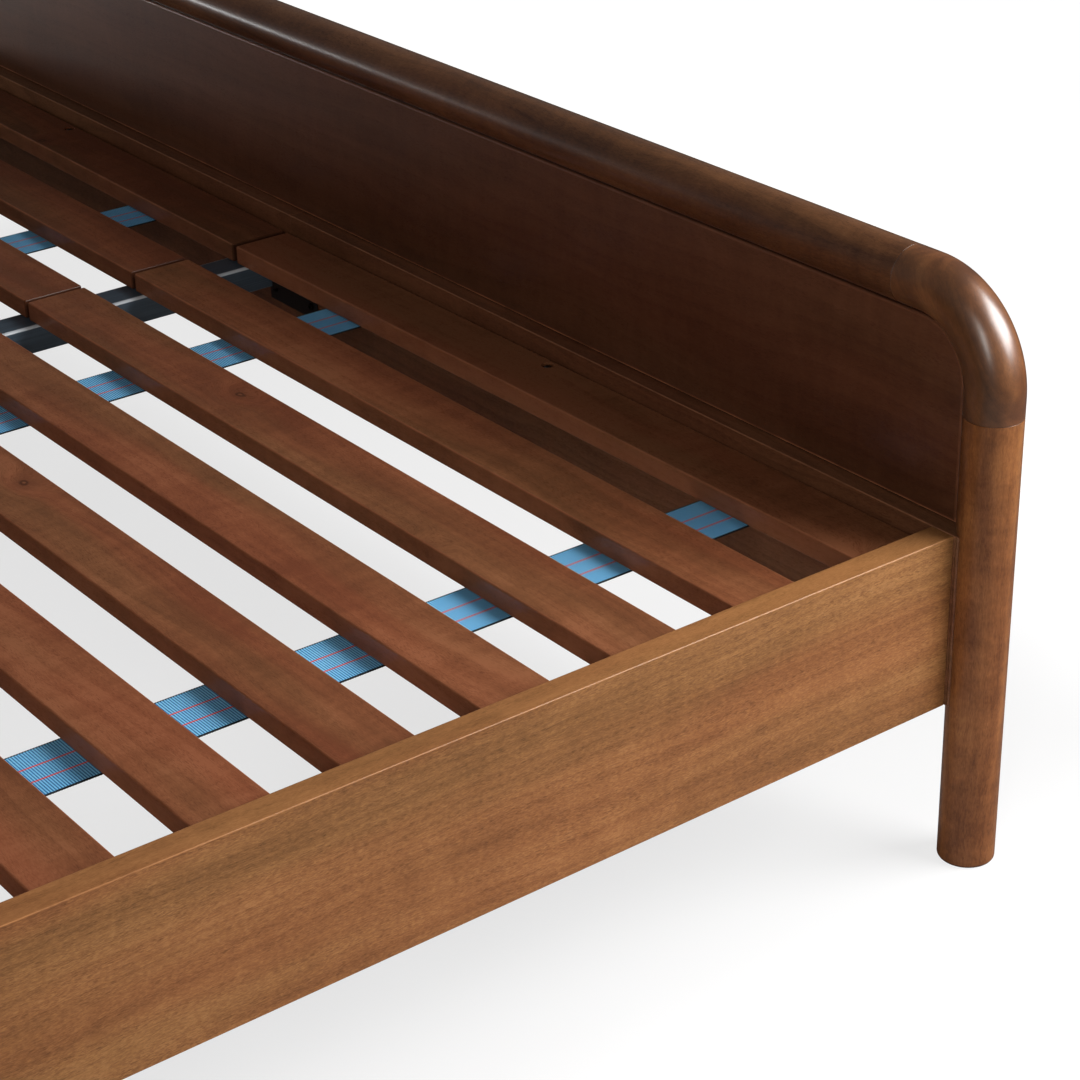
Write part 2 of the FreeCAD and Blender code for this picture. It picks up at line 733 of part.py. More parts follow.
for row in range(int(size("slat_rows"))):
    build_slat_row(row)


def build_strap(label, centre_expression):
    """A strap of webbing under the slats, from the first row to the last."""
    strap = bound_box(
        label, "sizes.strap_width", "sizes.clear_length - 2 * sizes.strap_end", "sizes.strap_thick",
        f"{centre_expression} - sizes.strap_width / 2", "-sizes.clear_length / 2 + sizes.strap_end",
        f"{SLAT_UNDERSIDE_EXPR} - sizes.strap_thick",
    )
    return finish(label, strap)


STRAPS = (
    ("strap_outer_left", "-sizes.strap_outer"),
    ("strap_inner_left", "-sizes.strap_inner"),
    ("strap_inner_right", "sizes.strap_inner"),
    ("strap_outer_right", "sizes.strap_outer"),
)
for label, centre_expression in STRAPS:
    build_strap(label, centre_expression)


def build_staples():
    """Two staple crowns where each strap passes under each row."""
    crown_length = 11
    crown_wire = 1.2
    crown_height = 0.7
    crown_offset = 16
    end_row_shift = 12
    rows = int(size("slat_rows"))
    pitch_span = size("clear_length") - size("slat_first_pitch") - size("slat_width") - size("slat_end_gap")
    pitch = pitch_span / (rows - 2)
    low = SLAT_UNDERSIDE - size("strap_thick") - crown_height
    crowns = []
    for row in range(rows):
        start = size("slat_end_gap") if row == 0 else size("slat_first_pitch") + (row - 1) * pitch
        middle = -HALF_LENGTH + start + size("slat_width") / 2
        if row == 0:
            middle += end_row_shift
        if row == rows - 1:
            middle -= end_row_shift
        for centre in (-size("strap_outer"), -size("strap_inner"), size("strap_inner"), size("strap_outer")):
            for step in (-1, 1):
                left = centre + step * crown_offset - crown_length / 2
                corner = Vector(left, middle - crown_wire / 2, low)
                crowns.append(Part.makeBox(crown_length, crown_wire, crown_height, corner))
    return finish("strap_staples", fixed_shape("strap_staples", Part.makeCompound(crowns)))


build_staples()


# ---------------------------------------------------------------------------------------------
# The centre support.

def build_beam():
    """A steel tube of rectangular section, from hanger to hanger."""
    length = "sizes.clear_length - 2 * sizes.hanger_thick"
    outer = bound_box(
        "beam_outer", "sizes.beam_width", length, "sizes.beam_height", "-sizes.beam_width / 2",
        "-sizes.clear_length / 2 + sizes.hanger_thick", f"{SLAT_UNDERSIDE_EXPR} - sizes.beam_height",
    )

    def radius(edge):
        return size("beam_round") if edge.Length > size("beam_width") * 2 else 0

    eased = rounded("beam_eased", outer, radius)
    inner = bound_box(
        "beam_inner", "sizes.beam_width - 2 * sizes.beam_wall", f"{length} + 2",
        "sizes.beam_height - 2 * sizes.beam_wall", "-sizes.beam_width / 2 + sizes.beam_wall",
        "-sizes.clear_length / 2 + sizes.hanger_thick - 1",
        f"{SLAT_UNDERSIDE_EXPR} - sizes.beam_height + sizes.beam_wall",
    )
    return finish("centre_beam", cut("beam_cut", eased, [inner, leg_screw_bores]))


def build_hangers():
    """A folded steel hanger at each end of the beam: a back plate, a shelf and two cheeks."""
    thick = size("hanger_thick")
    half_width = size("hanger_width") / 2
    depth = size("hanger_depth")
    inside = size("beam_width") / 2 + HANGER_CLEARANCE
    hangers = []
    for end in (-1, 1):
        wall = end * HALF_LENGTH
        back_y = wall if end < 0 else wall - thick
        front_y = wall + thick if end < 0 else wall - depth
        back = Part.makeBox(
            2 * half_width, thick, size("hanger_height"),
            Vector(-half_width, back_y, SLAT_UNDERSIDE - size("hanger_height")),
        )
        shelf = Part.makeBox(
            2 * (inside + thick), depth - thick, thick, Vector(-inside - thick, front_y, BEAM_BOTTOM - thick)
        )
        cheek_height = size("beam_height") - CHEEK_DROP
        left = Part.makeBox(thick, depth - thick, cheek_height, Vector(-inside - thick, front_y, BEAM_BOTTOM))
        right = Part.makeBox(thick, depth - thick, cheek_height, Vector(inside, front_y, BEAM_BOTTOM))
        hangers.append(back.fuse([shelf, left, right]).removeSplitter())
    solid = fixed_shape("hanger_blanks", Part.makeCompound(hangers))
    return finish("beam_hangers", cut("hanger_cut", solid, [screw_bores]))


def build_leg(label, step):
    """A round steel leg with a flange welded on top."""
    y = f"{step} * sizes.leg_spacing"
    foot = "sizes.glide_height + sizes.plug_flange"
    top = f"{SLAT_UNDERSIDE_EXPR} - sizes.beam_height - sizes.leg_flange_thick"
    tube = doc.addObject("Part::Cylinder", label + "_tube")
    bind(tube, Radius="sizes.leg_radius", Height=f"{top} - ({foot})")
    bind(tube, Placement__Base__y=y, Placement__Base__z=foot)
    hollow = doc.addObject("Part::Cylinder", label + "_hollow")
    bind(hollow, Radius="sizes.leg_radius - sizes.leg_wall", Height=f"{top} - ({foot})")
    bind(hollow, Placement__Base__y=y, Placement__Base__z=foot)
    pipe = cut(label + "_pipe", tube, [hollow])
    flange = bound_box(
        label + "_flange", "sizes.beam_width", "sizes.leg_flange", "sizes.leg_flange_thick",
        "-sizes.beam_width / 2", f"{y} - sizes.leg_flange / 2", top,
    )

    def radius(edge):
        upright = edge.Length < size("leg_flange_thick") + TOUCHING
        return FLANGE_CORNER_RADIUS if upright else 0

    plate = rounded(label + "_plate", flange, radius)
    holed = cut(label + "_holed", plate, [leg_screw_bores])
    weld = doc.addObject("Part::MultiFuse", label + "_weld")
    weld.Shapes = [pipe, holed]
    return finish(label, weld)


def build_plugs():
    """The threaded plugs in the feet of the three legs."""
    inside = size("leg_radius") - size("leg_wall") - THREAD_PLAY
    plugs = []
    for step in (-1, 0, 1):
        base = Vector(0, step * size("leg_spacing"), size("glide_height"))
        flange = cylinder(size("leg_radius"), size("plug_flange"), base, Z_AXIS)
        core = cylinder(inside, size("plug_flange") + size("plug_depth"), base, Z_AXIS)
        bore_depth = size("plug_depth") + BORE_OVERSHOOT
        thread = cylinder(size("stud_radius") + THREAD_PLAY, bore_depth, base - Z_AXIS, Z_AXIS)
        plugs.append(flange.fuse(core).removeSplitter().cut(thread))
    return finish("leg_plugs", fixed_shape("leg_plugs", Part.makeCompound(plugs)))


def build_glide(label, step):
    """A levelling glide: a rounded foot with a stud that screws into the leg's plug."""
    body = doc.addObject("PartDesign::Body", label)
    sketch = new_sketch(body, label + "_section", "XZ_Plane")
    clear = 0.3
    foot = size("glide_radius")
    neck = foot * GLIDE_STEP_SHARE
    step_height = size("glide_height") * GLIDE_STEP_SHARE
    top = size("glide_height") - clear
    reach = size("glide_height") + size("stud_reach")
    points = [
        Vector(0, 0, 0), Vector(foot - 2, 0, 0), Vector(foot, 2, 0), Vector(foot, step_height, 0),
        Vector(neck, top, 0), Vector(size("stud_radius"), top, 0),
        Vector(size("stud_radius"), reach, 0), Vector(0, reach, 0),
    ]
    count = len(points)
    for number in range(count):
        sketch.addGeometry(Part.LineSegment(points[number], points[(number + 1) % count]), False)
    for number in range(count):
        sketch.addConstraint(Sketcher.Constraint("Coincident", number, 2, (number + 1) % count, 1))
    sketch.addConstraint(Sketcher.Constraint("Coincident", 0, 1, -1, 1))
    sketch.addConstraint(Sketcher.Constraint("PointOnObject", 6, 2, -2))
    for number in (0, 4, 6):
        sketch.addConstraint(Sketcher.Constraint("Horizontal", number))
    for number in (2, 5):
        sketch.addConstraint(Sketcher.Constraint("Vertical", number))
    driven = (
        (("DistanceX", -1, 1, 2, 1, foot), "sizes.glide_radius"),
        (("DistanceX", -1, 1, 5, 1, size("stud_radius")), "sizes.stud_radius"),
        (("DistanceY", -1, 1, 5, 1, top), f"sizes.glide_height - {clear}"),
        (("DistanceY", -1, 1, 6, 1, reach), "sizes.glide_height + sizes.stud_reach"),
        (("DistanceY", -1, 1, 3, 1, step_height), f"sizes.glide_height * {GLIDE_STEP_SHARE}"),
        (("DistanceX", -1, 1, 4, 1, neck), f"sizes.glide_radius * {GLIDE_STEP_SHARE}"),
        (("DistanceX", 1, 1, 1, 2, 2), "2"),
        (("DistanceY", 1, 1, 1, 2, 2), "2"),
    )
    for constraint, expression in driven:
        number = sketch.addConstraint(Sketcher.Constraint(*constraint))
        sketch.setExpression(f"Constraints[{number}]", expression)
    turning = body.newObject("PartDesign::Revolution", label + "_turning")
    turning.Profile = sketch
    turning.ReferenceAxis = (sketch, ["V_Axis"])
    turning.Angle = 360
    bind(body, Placement__Base__y=f"{step} * sizes.leg_spacing")
    return finish(label, body)


build_beam()
build_hangers()
LEGS = (("foot", -1), ("middle", 0), ("head", 1))
for word, step in LEGS:
    build_leg("centre_leg_" + word, step)
    build_glide("levelling_glide_" + word, step)
build_plugs()


# ---------------------------------------------------------------------------------------------
# Corner brackets and the groups of fasteners.

def build_brackets():
    """An angle bracket in each corner, between a side rail and a lower rail."""
    flange = size("bracket_flange")
    thick = size("bracket_thick")
    tall = size("bracket_height")
    low = size("bracket_low")
    brackets = []
    for end in (-1, 1):
        for side in (-1, 1):
            on_side_x = HALF_WIDTH - thick if side > 0 else -HALF_WIDTH
            on_side_y = HALF_LENGTH - flange if end > 0 else -HALF_LENGTH
            on_end_x = HALF_WIDTH - flange if side > 0 else -HALF_WIDTH
            on_end_y = HALF_LENGTH - thick if end > 0 else -HALF_LENGTH
            first = Part.makeBox(thick, flange, tall, Vector(on_side_x, on_side_y, low))
            second = Part.makeBox(flange, thick, tall, Vector(on_end_x, on_end_y, low))
            brackets.append(first.fuse(second).removeSplitter())
    solid = fixed_shape("bracket_blanks", Part.makeCompound(brackets))
    return finish("corner_brackets", cut("bracket_cut", solid, [bolt_bores]))


def build_fasteners(label, places, shank, reach, head_radius, head_height, drive):
    """One kind of headed fastener at every one of its places."""
    solids = []
    for place, direction in places:
        solids.append(headed_fastener(place, direction, shank, reach, head_radius, head_height, drive))
    return finish(label, fixed_shape(label, Part.makeCompound(solids)))


def build_inserts():
    """The threaded sleeves in the rails that take the bracket bolts."""
    sleeves = []
    for place, direction in bracket_bolt_places():
        start = place + direction * size("bracket_thick")
        sleeve = cylinder(INSERT_RADIUS, INSERT_LENGTH, start, direction)
        sleeves.append(sleeve.cut(cylinder(INSERT_BORE, INSERT_LENGTH + 1, start, direction)))
    return finish("rail_inserts", fixed_shape("rail_inserts", Part.makeCompound(sleeves)))


def build_dowels():
    """Every dowel of both end frames."""
    margin = 0.5
    dowels = []
    for end, height_alias in ((-1, "foot_height"), (1, "head_height")):
        for place, direction in dowel_places(end, size(height_alias)):
            start = place + direction * margin
            dowels.append(cylinder(DOWEL_RADIUS, DOWEL_LENGTH - 2 * margin, start, direction))
    return finish("frame_dowels", fixed_shape("frame_dowels", Part.makeCompound(dowels)))


build_brackets()
build_inserts()
build_dowels()
build_fasteners(
    "bracket_bolts", bracket_bolt_places(), INSERT_BORE - 0.05, BOLT_REACH,
    BOLT_HEAD_RADIUS, BOLT_HEAD_HEIGHT, 2.5,
)
build_fasteners(
    "wood_screws", wood_screw_places, SCREW_RADIUS, SCREW_LENGTH, SCREW_HEAD_RADIUS, SCREW_HEAD_HEIGHT, 1.4
)
build_fasteners(
    "slat_screws", slat_screw_places(), SCREW_RADIUS, SCREW_LENGTH, SCREW_HEAD_RADIUS, SCREW_HEAD_HEIGHT, 1.4
)
build_fasteners("leg_screws", leg_screw_places(), SCREW_RADIUS, 9, SCREW_HEAD_RADIUS, SCREW_HEAD_HEIGHT, 1.4)

doc.recompute()

failed = [item.Label for item in doc.Objects if "Invalid" in item.State or "Error" in item.State]
if failed:
    raise RuntimeError(f"failed: {failed}")
for label, item in finished.items():
    if item.Shape.isNull() or not item.Shape.isValid():
        raise RuntimeError(f"{label} has a bad shape")
for label, item in finished.items():
    item.Shape.exportStep(f"parts/{label}.step")

print(len(finished), "sub-parts written")
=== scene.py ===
import math
import random

import bpy
import numpy as np
from mathutils import Matrix, Vector
from mathutils.kdtree import KDTree


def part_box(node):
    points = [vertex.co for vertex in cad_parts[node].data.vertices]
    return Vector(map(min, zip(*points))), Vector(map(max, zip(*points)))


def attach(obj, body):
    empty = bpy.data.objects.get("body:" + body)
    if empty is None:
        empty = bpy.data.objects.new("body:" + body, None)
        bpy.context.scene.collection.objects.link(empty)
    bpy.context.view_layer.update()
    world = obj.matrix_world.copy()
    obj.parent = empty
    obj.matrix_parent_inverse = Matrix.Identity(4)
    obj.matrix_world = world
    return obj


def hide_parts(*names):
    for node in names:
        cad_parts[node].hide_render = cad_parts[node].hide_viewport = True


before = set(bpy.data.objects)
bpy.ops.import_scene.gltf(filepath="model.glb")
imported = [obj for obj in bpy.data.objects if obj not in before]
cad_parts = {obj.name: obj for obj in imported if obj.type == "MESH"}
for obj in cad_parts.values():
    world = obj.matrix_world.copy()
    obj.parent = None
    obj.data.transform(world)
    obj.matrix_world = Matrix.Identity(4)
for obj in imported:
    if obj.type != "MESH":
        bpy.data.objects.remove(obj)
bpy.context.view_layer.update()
SEED = 11
BODY = "bed"


# ---------------------------------------------------------------------------------------------
# Places, all read from the frame.

def low(node):
    """A CAD node's lowest corner."""
    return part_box(node)[0]


def high(node):
    """A CAD node's highest corner."""
    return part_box(node)[1]


RAIL_TOP = high("side_rail_left").z
INNER_X = high("slat_ledger_right").x
OUTER_X = high("side_rail_right").x
FOOT_FACE = high("foot_lower_rail_left").y
HEAD_FACE = low("head_lower_rail_left").y
POST_RADIUS = (high("foot_post_left").y - low("foot_post_left").y) / 2
SLAT_ROWS = sorted(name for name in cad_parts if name.startswith("slat_row_"))
SCREW_HEAD_RADIUS = 0.0042
SCREW_X = high("slat_screws").x - SCREW_HEAD_RADIUS
SCREW_Y = high("slat_screws").y - SCREW_HEAD_RADIUS

# Small shapes, in metres
RECESS_RADIUS = 0.0060
RECESS_DEPTH = 0.0032
BEND_ARM = 0.022
SEAM_EASE = 0.0004
FOOT_EASE = 0.003
SUPPORT = 0.0006
RAIL_ARRIS = 0.0011
SLAT_ARRIS = 0.0018
PANEL_ARRIS = 0.0025
TONGUE_DEPTH = 0.007
TONGUE_HALF = 0.007
SLAT_HALF_GAP = 0.003
SLAT_SKEW = math.radians(0.35)
ON_FACE = 0.0002
AROUND_TUBE = 72
SMOOTH_ANGLE = math.radians(40)

# Scales of the wood's textures along, across and through the fibres, in cycles per metre
DRIFT_SCALE = (2.6, 9, 9)
CLOUD_SCALE = (3.2, 17, 17)
PLANK_SCALE = (0.16, 1.5, 1.5)
STREAK_SCALE = (2.1, 70, 70)
FIBRE_SCALE = (110, 480, 480)
RIPPLE_SCALE = (52, 20, 20)
RING_DRIFT_SCALE = (0.8, 24, 24)
HUE_SCALE = (1.7, 13, 13)
DASH_SCALE = (210, 1500, 1500)
GROUP_SCALE = (9, 80, 80)
RUB_AND_HIGHLIGHT_SCALE = (26, 90, 90)
KNOT_EDGE_SCALE = (60, 60, 60)
KNOT_SCALE = (2.3, 3.4, 1.0)
MIDDLE = (0.5, 0.5, 0.5)


# ---------------------------------------------------------------------------------------------
# Materials. Wood reads three attributes: "grain" is the place in the plank with x along the fibres,
# the wear attribute is above 0 where the surface is rubbed light and where highlights and lit faces are
# painted, and below 0 in a dark seam and where shade is painted, and "tone" makes a whole piece lighter
# or darker, which on four slat halves is painted shade and painted light.

class Nodes:
    """A small helper that adds and links shader nodes."""

    def __init__(self, name):
        self.material = bpy.data.materials.new(name)
        self.material.use_nodes = True
        self.tree = self.material.node_tree
        self.tree.nodes.clear()
        self.output = self.tree.nodes.new("ShaderNodeOutputMaterial")
        self.shader = self.tree.nodes.new("ShaderNodeBsdfPrincipled")
        self.link(self.shader.outputs["BSDF"], self.output.inputs["Surface"])

    def link(self, source, target):
        self.tree.links.new(source, target)

    def put(self, socket, value):
        """Link an output to the socket, or set a constant on it."""
        if isinstance(value, bpy.types.NodeSocket):
            self.link(value, socket)
        elif value is not None:
            socket.default_value = value

    def attribute(self, name, output="Vector"):
        node = self.tree.nodes.new("ShaderNodeAttribute")
        node.attribute_name = name
        return node.outputs[output]

    def coordinates(self):
        return self.tree.nodes.new("ShaderNodeTexCoord").outputs["Object"]

    def scaled(self, vector, scale, offset=(0, 0, 0)):
        node = self.tree.nodes.new("ShaderNodeMapping")
        self.put(node.inputs["Vector"], vector)
        node.inputs["Scale"].default_value = scale
        node.inputs["Location"].default_value = offset
        return node.outputs["Vector"]

    def noise(self, vector, scale, detail, roughness):
        node = self.tree.nodes.new("ShaderNodeTexNoise")
        self.put(node.inputs["Vector"], vector)
        node.inputs["Scale"].default_value = scale
        node.inputs["Detail"].default_value = detail
        node.inputs["Roughness"].default_value = roughness
        return node.outputs["Fac"]

    def texture(self, place, scale, detail, roughness, offset=(0, 0, 0)):
        """Noise with a scale of its own along each axis."""
        return self.noise(self.scaled(place, scale, offset), 1.0, detail, roughness)

    def texture_color(self, place, scale, detail, roughness):
        """A vector of three independent noises."""
        return self.texture(place, scale, detail, roughness).node.outputs["Color"]

    def cells_2d(self, vector):
        """Distance to the nearest of many scattered points, the same at every depth."""
        node = self.tree.nodes.new("ShaderNodeTexVoronoi")
        node.voronoi_dimensions = "2D"
        self.put(node.inputs["Vector"], vector)
        node.inputs["Scale"].default_value = 1.0
        return node.outputs["Distance"]

    def math(self, operation, a, b=None, c=None):
        node = self.tree.nodes.new("ShaderNodeMath")
        node.operation = operation
        for socket, value in zip(node.inputs, (a, b, c)):
            self.put(socket, value)
        return node.outputs["Value"]

    def vector_math(self, operation, a, b=None):
        node = self.tree.nodes.new("ShaderNodeVectorMath")
        node.operation = operation
        for socket, value in zip(node.inputs, (a, b)):
            self.put(socket, value)
        return node.outputs["Vector"]

    def split(self, vector):
        node = self.tree.nodes.new("ShaderNodeSeparateXYZ")
        self.put(node.inputs[0], vector)
        return node.outputs["X"], node.outputs["Y"], node.outputs["Z"]

    def join(self, x, y, z):
        node = self.tree.nodes.new("ShaderNodeCombineXYZ")
        for socket, value in zip(node.inputs, (x, y, z)):
            self.put(socket, value)
        return node.outputs[0]

    def remap(self, value, low_in, high_in, low_out=0.0, high_out=1.0):
        node = self.tree.nodes.new("ShaderNodeMapRange")
        node.interpolation_type = "SMOOTHSTEP"
        for name, item in (
            ("Value", value), ("From Min", low_in), ("From Max", high_in),
            ("To Min", low_out), ("To Max", high_out),
        ):
            self.put(node.inputs[name], item)
        return node.outputs["Result"]

    def ramp(self, factor, stops):
        node = self.tree.nodes.new("ShaderNodeValToRGB")
        self.put(node.inputs["Fac"], factor)
        elements = node.color_ramp.elements
        while len(elements) < len(stops):
            elements.new(0.5)
        for element, (position, color) in zip(elements, stops):
            element.position = position
            element.color = (*color, 1.0)
        return node.outputs["Color"]

    def mix(self, factor, a, b):
        node = self.tree.nodes.new("ShaderNodeMix")
        node.data_type = "RGBA"
        self.put(node.inputs[0], factor)
        for socket, value in ((node.inputs[6], a), (node.inputs[7], b)):
            self.put(socket, (*value, 1.0) if isinstance(value, tuple) else value)
        return node.outputs[2]

    def bump(self, height, strength, distance):
        node = self.tree.nodes.new("ShaderNodeBump")
        node.inputs["Strength"].default_value = strength
        node.inputs["Distance"].default_value = distance
        self.put(node.inputs["Height"], height)
        return node.outputs["Normal"]

    def weigh(self, value, middle, weight, start):
        """The start value, moved by how far a texture is from its middle."""
        return self.math("MULTIPLY_ADD", self.math("SUBTRACT", value, middle), weight, start)

    def finish(self, color, roughness, normal, **constants):
        self.put(self.shader.inputs["Base Color"], color)
        self.put(self.shader.inputs["Roughness"], roughness)
        self.put(self.shader.inputs["Normal"], normal)
        for name, value in constants.items():
            self.shader.inputs[name.replace("_", " ")].default_value = value
        return self.material


def from_display(red, green, blue):
    """A linear colour from 8-bit display values."""
    def channel(value):
        value = value / 255
        return value / 12.92 if value <= 0.04045 else ((value + 0.055) / 1.055) ** 2.4
    return (channel(red), channel(green), channel(blue))


def tinted(color, red, green, blue):
    """A colour with each channel scaled."""
    return (min(1.0, color[0] * red), min(1.0, color[1] * green), min(1.0, color[2] * blue))


def wood(name, base, clouds=0.9, streaks=0.7, fibres=0.5, ripples=0.3, rings=0.2, ring_pitch=0.008,
         pores=0.6, knots=0.0, roughness=0.4, red=0.35, coat=1.0, coat_ior=1.5, coat_roughness=0.25,
         fineness=1.0, wander=1.0, rub=1.0):
    """Stained and lacquered hardwood as a solid texture.

    base is the mean colour. The other values weigh, from coarse to fine: clouds of stain, streaks along
    the fibres, single fibres, ripples across them, growth rings, open pores and knots. rub scales how light
    the rubbed arrises and the painted highlights are."""
    nodes = Nodes(name)
    grain = nodes.attribute("grain")
    # the fibres wander a little, and bend round the knots
    drift = nodes.texture_color(grain, DRIFT_SCALE, 2.0, 0.5)
    sway = (0.0, 0.055 * wander, 0.055 * wander)
    shift = nodes.scaled(nodes.vector_math("SUBTRACT", drift, MIDDLE), sway)
    warped = nodes.vector_math("ADD", grain, shift)
    if knots:
        spot, warped = knot_places(nodes, grain, warped)
    cloud = nodes.texture(warped, CLOUD_SCALE, 3.0, 0.55)
    plank = nodes.texture(grain, PLANK_SCALE, 0.0, 0.5)
    streak = nodes.texture(warped, STREAK_SCALE, 4.0, 0.62)
    fine = tuple(value * fineness for value in FIBRE_SCALE)
    fibre = nodes.texture(warped, fine, 4.0, 0.72)
    ripple = nodes.texture(warped, RIPPLE_SCALE, 4.0, 0.65, (5.0, 2.0, 1.0))
    late = late_wood(nodes, warped, ring_pitch)
    tone = nodes.weigh(cloud, 0.5, clouds, 0.5)
    for value, weight in ((streak, streaks), (fibre, fibres), (ripple, ripples), (plank, 0.35)):
        tone = nodes.weigh(value, 0.5, weight, tone)
    tone = nodes.weigh(late, 0.4, -rings, tone)
    tone = nodes.math("ADD", tone, nodes.attribute("tone", "Fac"))
    color = nodes.ramp(tone, [
        (0.05, tinted(base, 0.36, 0.33, 0.36)), (0.34, tinted(base, 0.74, 0.72, 0.74)), (0.52, base),
        (0.74, tinted(base, 1.32, 1.38, 1.42)), (0.97, tinted(base, 1.75, 1.95, 2.1)),
    ])
    # redder and yellower stretches
    hue = nodes.texture(warped, HUE_SCALE, 2.0, 0.5, (9.0, 4.0, 6.0))
    hue = nodes.remap(hue, 0.35, 0.65)
    yellower_to_redder = nodes.mix(hue, tinted(base, 0.86, 1.02, 0.92), tinted(base, 1.1, 0.9, 0.88))
    color = nodes.mix(red, color, yellower_to_redder)
    pore = pore_pattern(nodes, warped, late)
    color = nodes.mix(nodes.math("MULTIPLY", pore, pores), color, tinted(base, 0.34, 0.3, 0.3))
    if knots:
        color = knot_colors(nodes, spot, color, base, knots)
    color = rub_seam_and_painted_light(nodes, grain, color, base, rub)
    relief = nodes.math("MULTIPLY_ADD", pore, -1.0, nodes.math("MULTIPLY", fibre, 0.5))
    normal = nodes.bump(relief, 0.16, 0.0003)
    gloss = nodes.weigh(cloud, 0.5, 0.2, roughness)
    gloss = nodes.math("MULTIPLY_ADD", pore, 0.18, gloss)
    return nodes.finish(color, gloss, normal, Specular_IOR_Level=0.12, Coat_Weight=coat,
                        Coat_Roughness=coat_roughness, Coat_IOR=coat_ior)


def knot_places(nodes, grain, warped):
    """The distance from the nearest knot, with a ragged outline, and fibres bent round the knots."""
    rough = nodes.texture_color(grain, KNOT_EDGE_SCALE, 2.0, 0.6)
    rough = nodes.scaled(nodes.vector_math("SUBTRACT", rough, MIDDLE), (0.012, 0.009, 0.0))
    ragged = nodes.vector_math("ADD", grain, rough)
    spot = nodes.cells_2d(nodes.scaled(ragged, KNOT_SCALE))
    knot = nodes.remap(spot, 0.10, 0.012)
    along, across, through = nodes.split(warped)
    across = nodes.math("MULTIPLY_ADD", knot, 0.022, across)
    return spot, nodes.join(along, across, through)


def knot_colors(nodes, spot, color, base, knots):
    """A knot's halo, its dark heart and a lighter centre, from the outside in."""
    for outer, inner, weight, tint in (
        (0.056, 0.018, 0.4, (0.55, 0.5, 0.5)),
        (0.018, 0.009, 0.8, (0.28, 0.24, 0.24)),
        (0.0072, 0.0022, 0.7, (1.2, 1.3, 1.3)),
    ):
        amount = nodes.math("MULTIPLY", nodes.remap(spot, outer, inner), weight * knots)
        color = nodes.mix(amount, color, tinted(base, *tint))
    return color


def late_wood(nodes, warped, ring_pitch):
    """Growth rings about the pith, at uneven distances: 1 in the late wood."""
    _, across, through = nodes.split(warped)
    squares = [nodes.math("MULTIPLY", value, value) for value in (across, through)]
    radius = nodes.math("SQRT", nodes.math("ADD", *squares))
    uneven = nodes.texture(warped, RING_DRIFT_SCALE, 2.0, 0.5, (2.0, 7.0, 3.0))
    rings_out = nodes.math("MULTIPLY", radius, 1 / ring_pitch)
    ring = nodes.math("FRACT", nodes.math("MULTIPLY_ADD", uneven, 5.0, rings_out))
    return nodes.math("MULTIPLY", nodes.remap(ring, 0.15, 0.85), nodes.remap(ring, 1.0, 0.88))


def pore_pattern(nodes, warped, late):
    """Open pores: short dashes in loose groups."""
    dash = nodes.texture(warped, DASH_SCALE, 1.0, 0.5)
    group = nodes.texture(warped, GROUP_SCALE, 2.0, 0.5)
    group = nodes.remap(nodes.math("MULTIPLY_ADD", late, 0.22, group), 0.36, 0.7, 0.15, 1.0)
    return nodes.math("MULTIPLY", nodes.remap(dash, 0.54, 0.66), group)


def rub_seam_and_painted_light(nodes, grain, color, base, rub):
    """Where the wear attribute is above 0 the surface is rubbed lighter and painted highlights and lit
    faces are added; where it is below 0 it is dark, in seams and as painted shade.
    """
    wear_and_painted_light = nodes.attribute("wear_and_painted_light", "Fac")
    uneven_rub_and_highlight = nodes.remap(nodes.texture(grain, RUB_AND_HIGHLIGHT_SCALE, 4.0, 0.6), 0.3, 0.7, 0.35, 1.0)
    # the lighter mix paints rubbed wear and painted highlights alike
    rubbed = nodes.math("MULTIPLY", nodes.math("MAXIMUM", wear_and_painted_light, 0.0), uneven_rub_and_highlight)
    light = tinted(base, 1.9 * rub, 2.0 * rub, 2.1 * rub)
    color = nodes.mix(nodes.math("MULTIPLY", rubbed, 0.42), color, light)
    # the dark mix paints glued seams, and painted shade in gaps, grooves and recesses
    seam = nodes.math("MAXIMUM", nodes.math("MULTIPLY", wear_and_painted_light, -1.0), 0.0)
    return nodes.mix(nodes.math("MULTIPLY", seam, 0.85), color, tinted(base, 0.2, 0.18, 0.18))


def webbing(name):
    """Ribbed woven strap. The attribute "weave" holds the place across and along it, and the rib."""
    nodes = Nodes(name)
    weave = nodes.attribute("weave")
    across, _, height = nodes.split(weave)
    yarn = nodes.texture(weave, (2400, 700, 1), 2.0, 0.6)
    faded = nodes.texture(weave, (18, 6, 1), 3.0, 0.6)
    # painted shade and light: the grooves between the ribs are coloured dark and the ridges light
    ridge = nodes.remap(height, -0.2, 1.0)
    tone = nodes.weigh(faded, 0.5, 0.35, nodes.weigh(yarn, 0.5, 0.9, ridge))
    blue = nodes.ramp(tone, [(0.05, from_display(30, 74, 128)), (0.5, from_display(76, 172, 242)),
                             (0.95, from_display(156, 226, 255))])
    red = nodes.ramp(tone, [(0.1, from_display(170, 44, 56)), (0.8, from_display(252, 116, 116))])
    color = blue
    for place in (-0.0105, 0.0088):
        offset = nodes.math("ABSOLUTE", nodes.math("SUBTRACT", across, place))
        color = nodes.mix(nodes.remap(offset, 0.00105, 0.0008), color, red)
    edge = nodes.remap(nodes.math("ABSOLUTE", across), 0.0305, 0.0311)
    black = nodes.ramp(tone, [(0.1, from_display(8, 9, 11)), (0.9, from_display(38, 40, 44))])
    color = nodes.mix(edge, color, black)
    normal = nodes.bump(yarn, 0.35, 0.0004)
    return nodes.finish(color, 0.78, normal, Specular_IOR_Level=0.2, Sheen_Weight=0.05,
                        Sheen_Roughness=0.5)


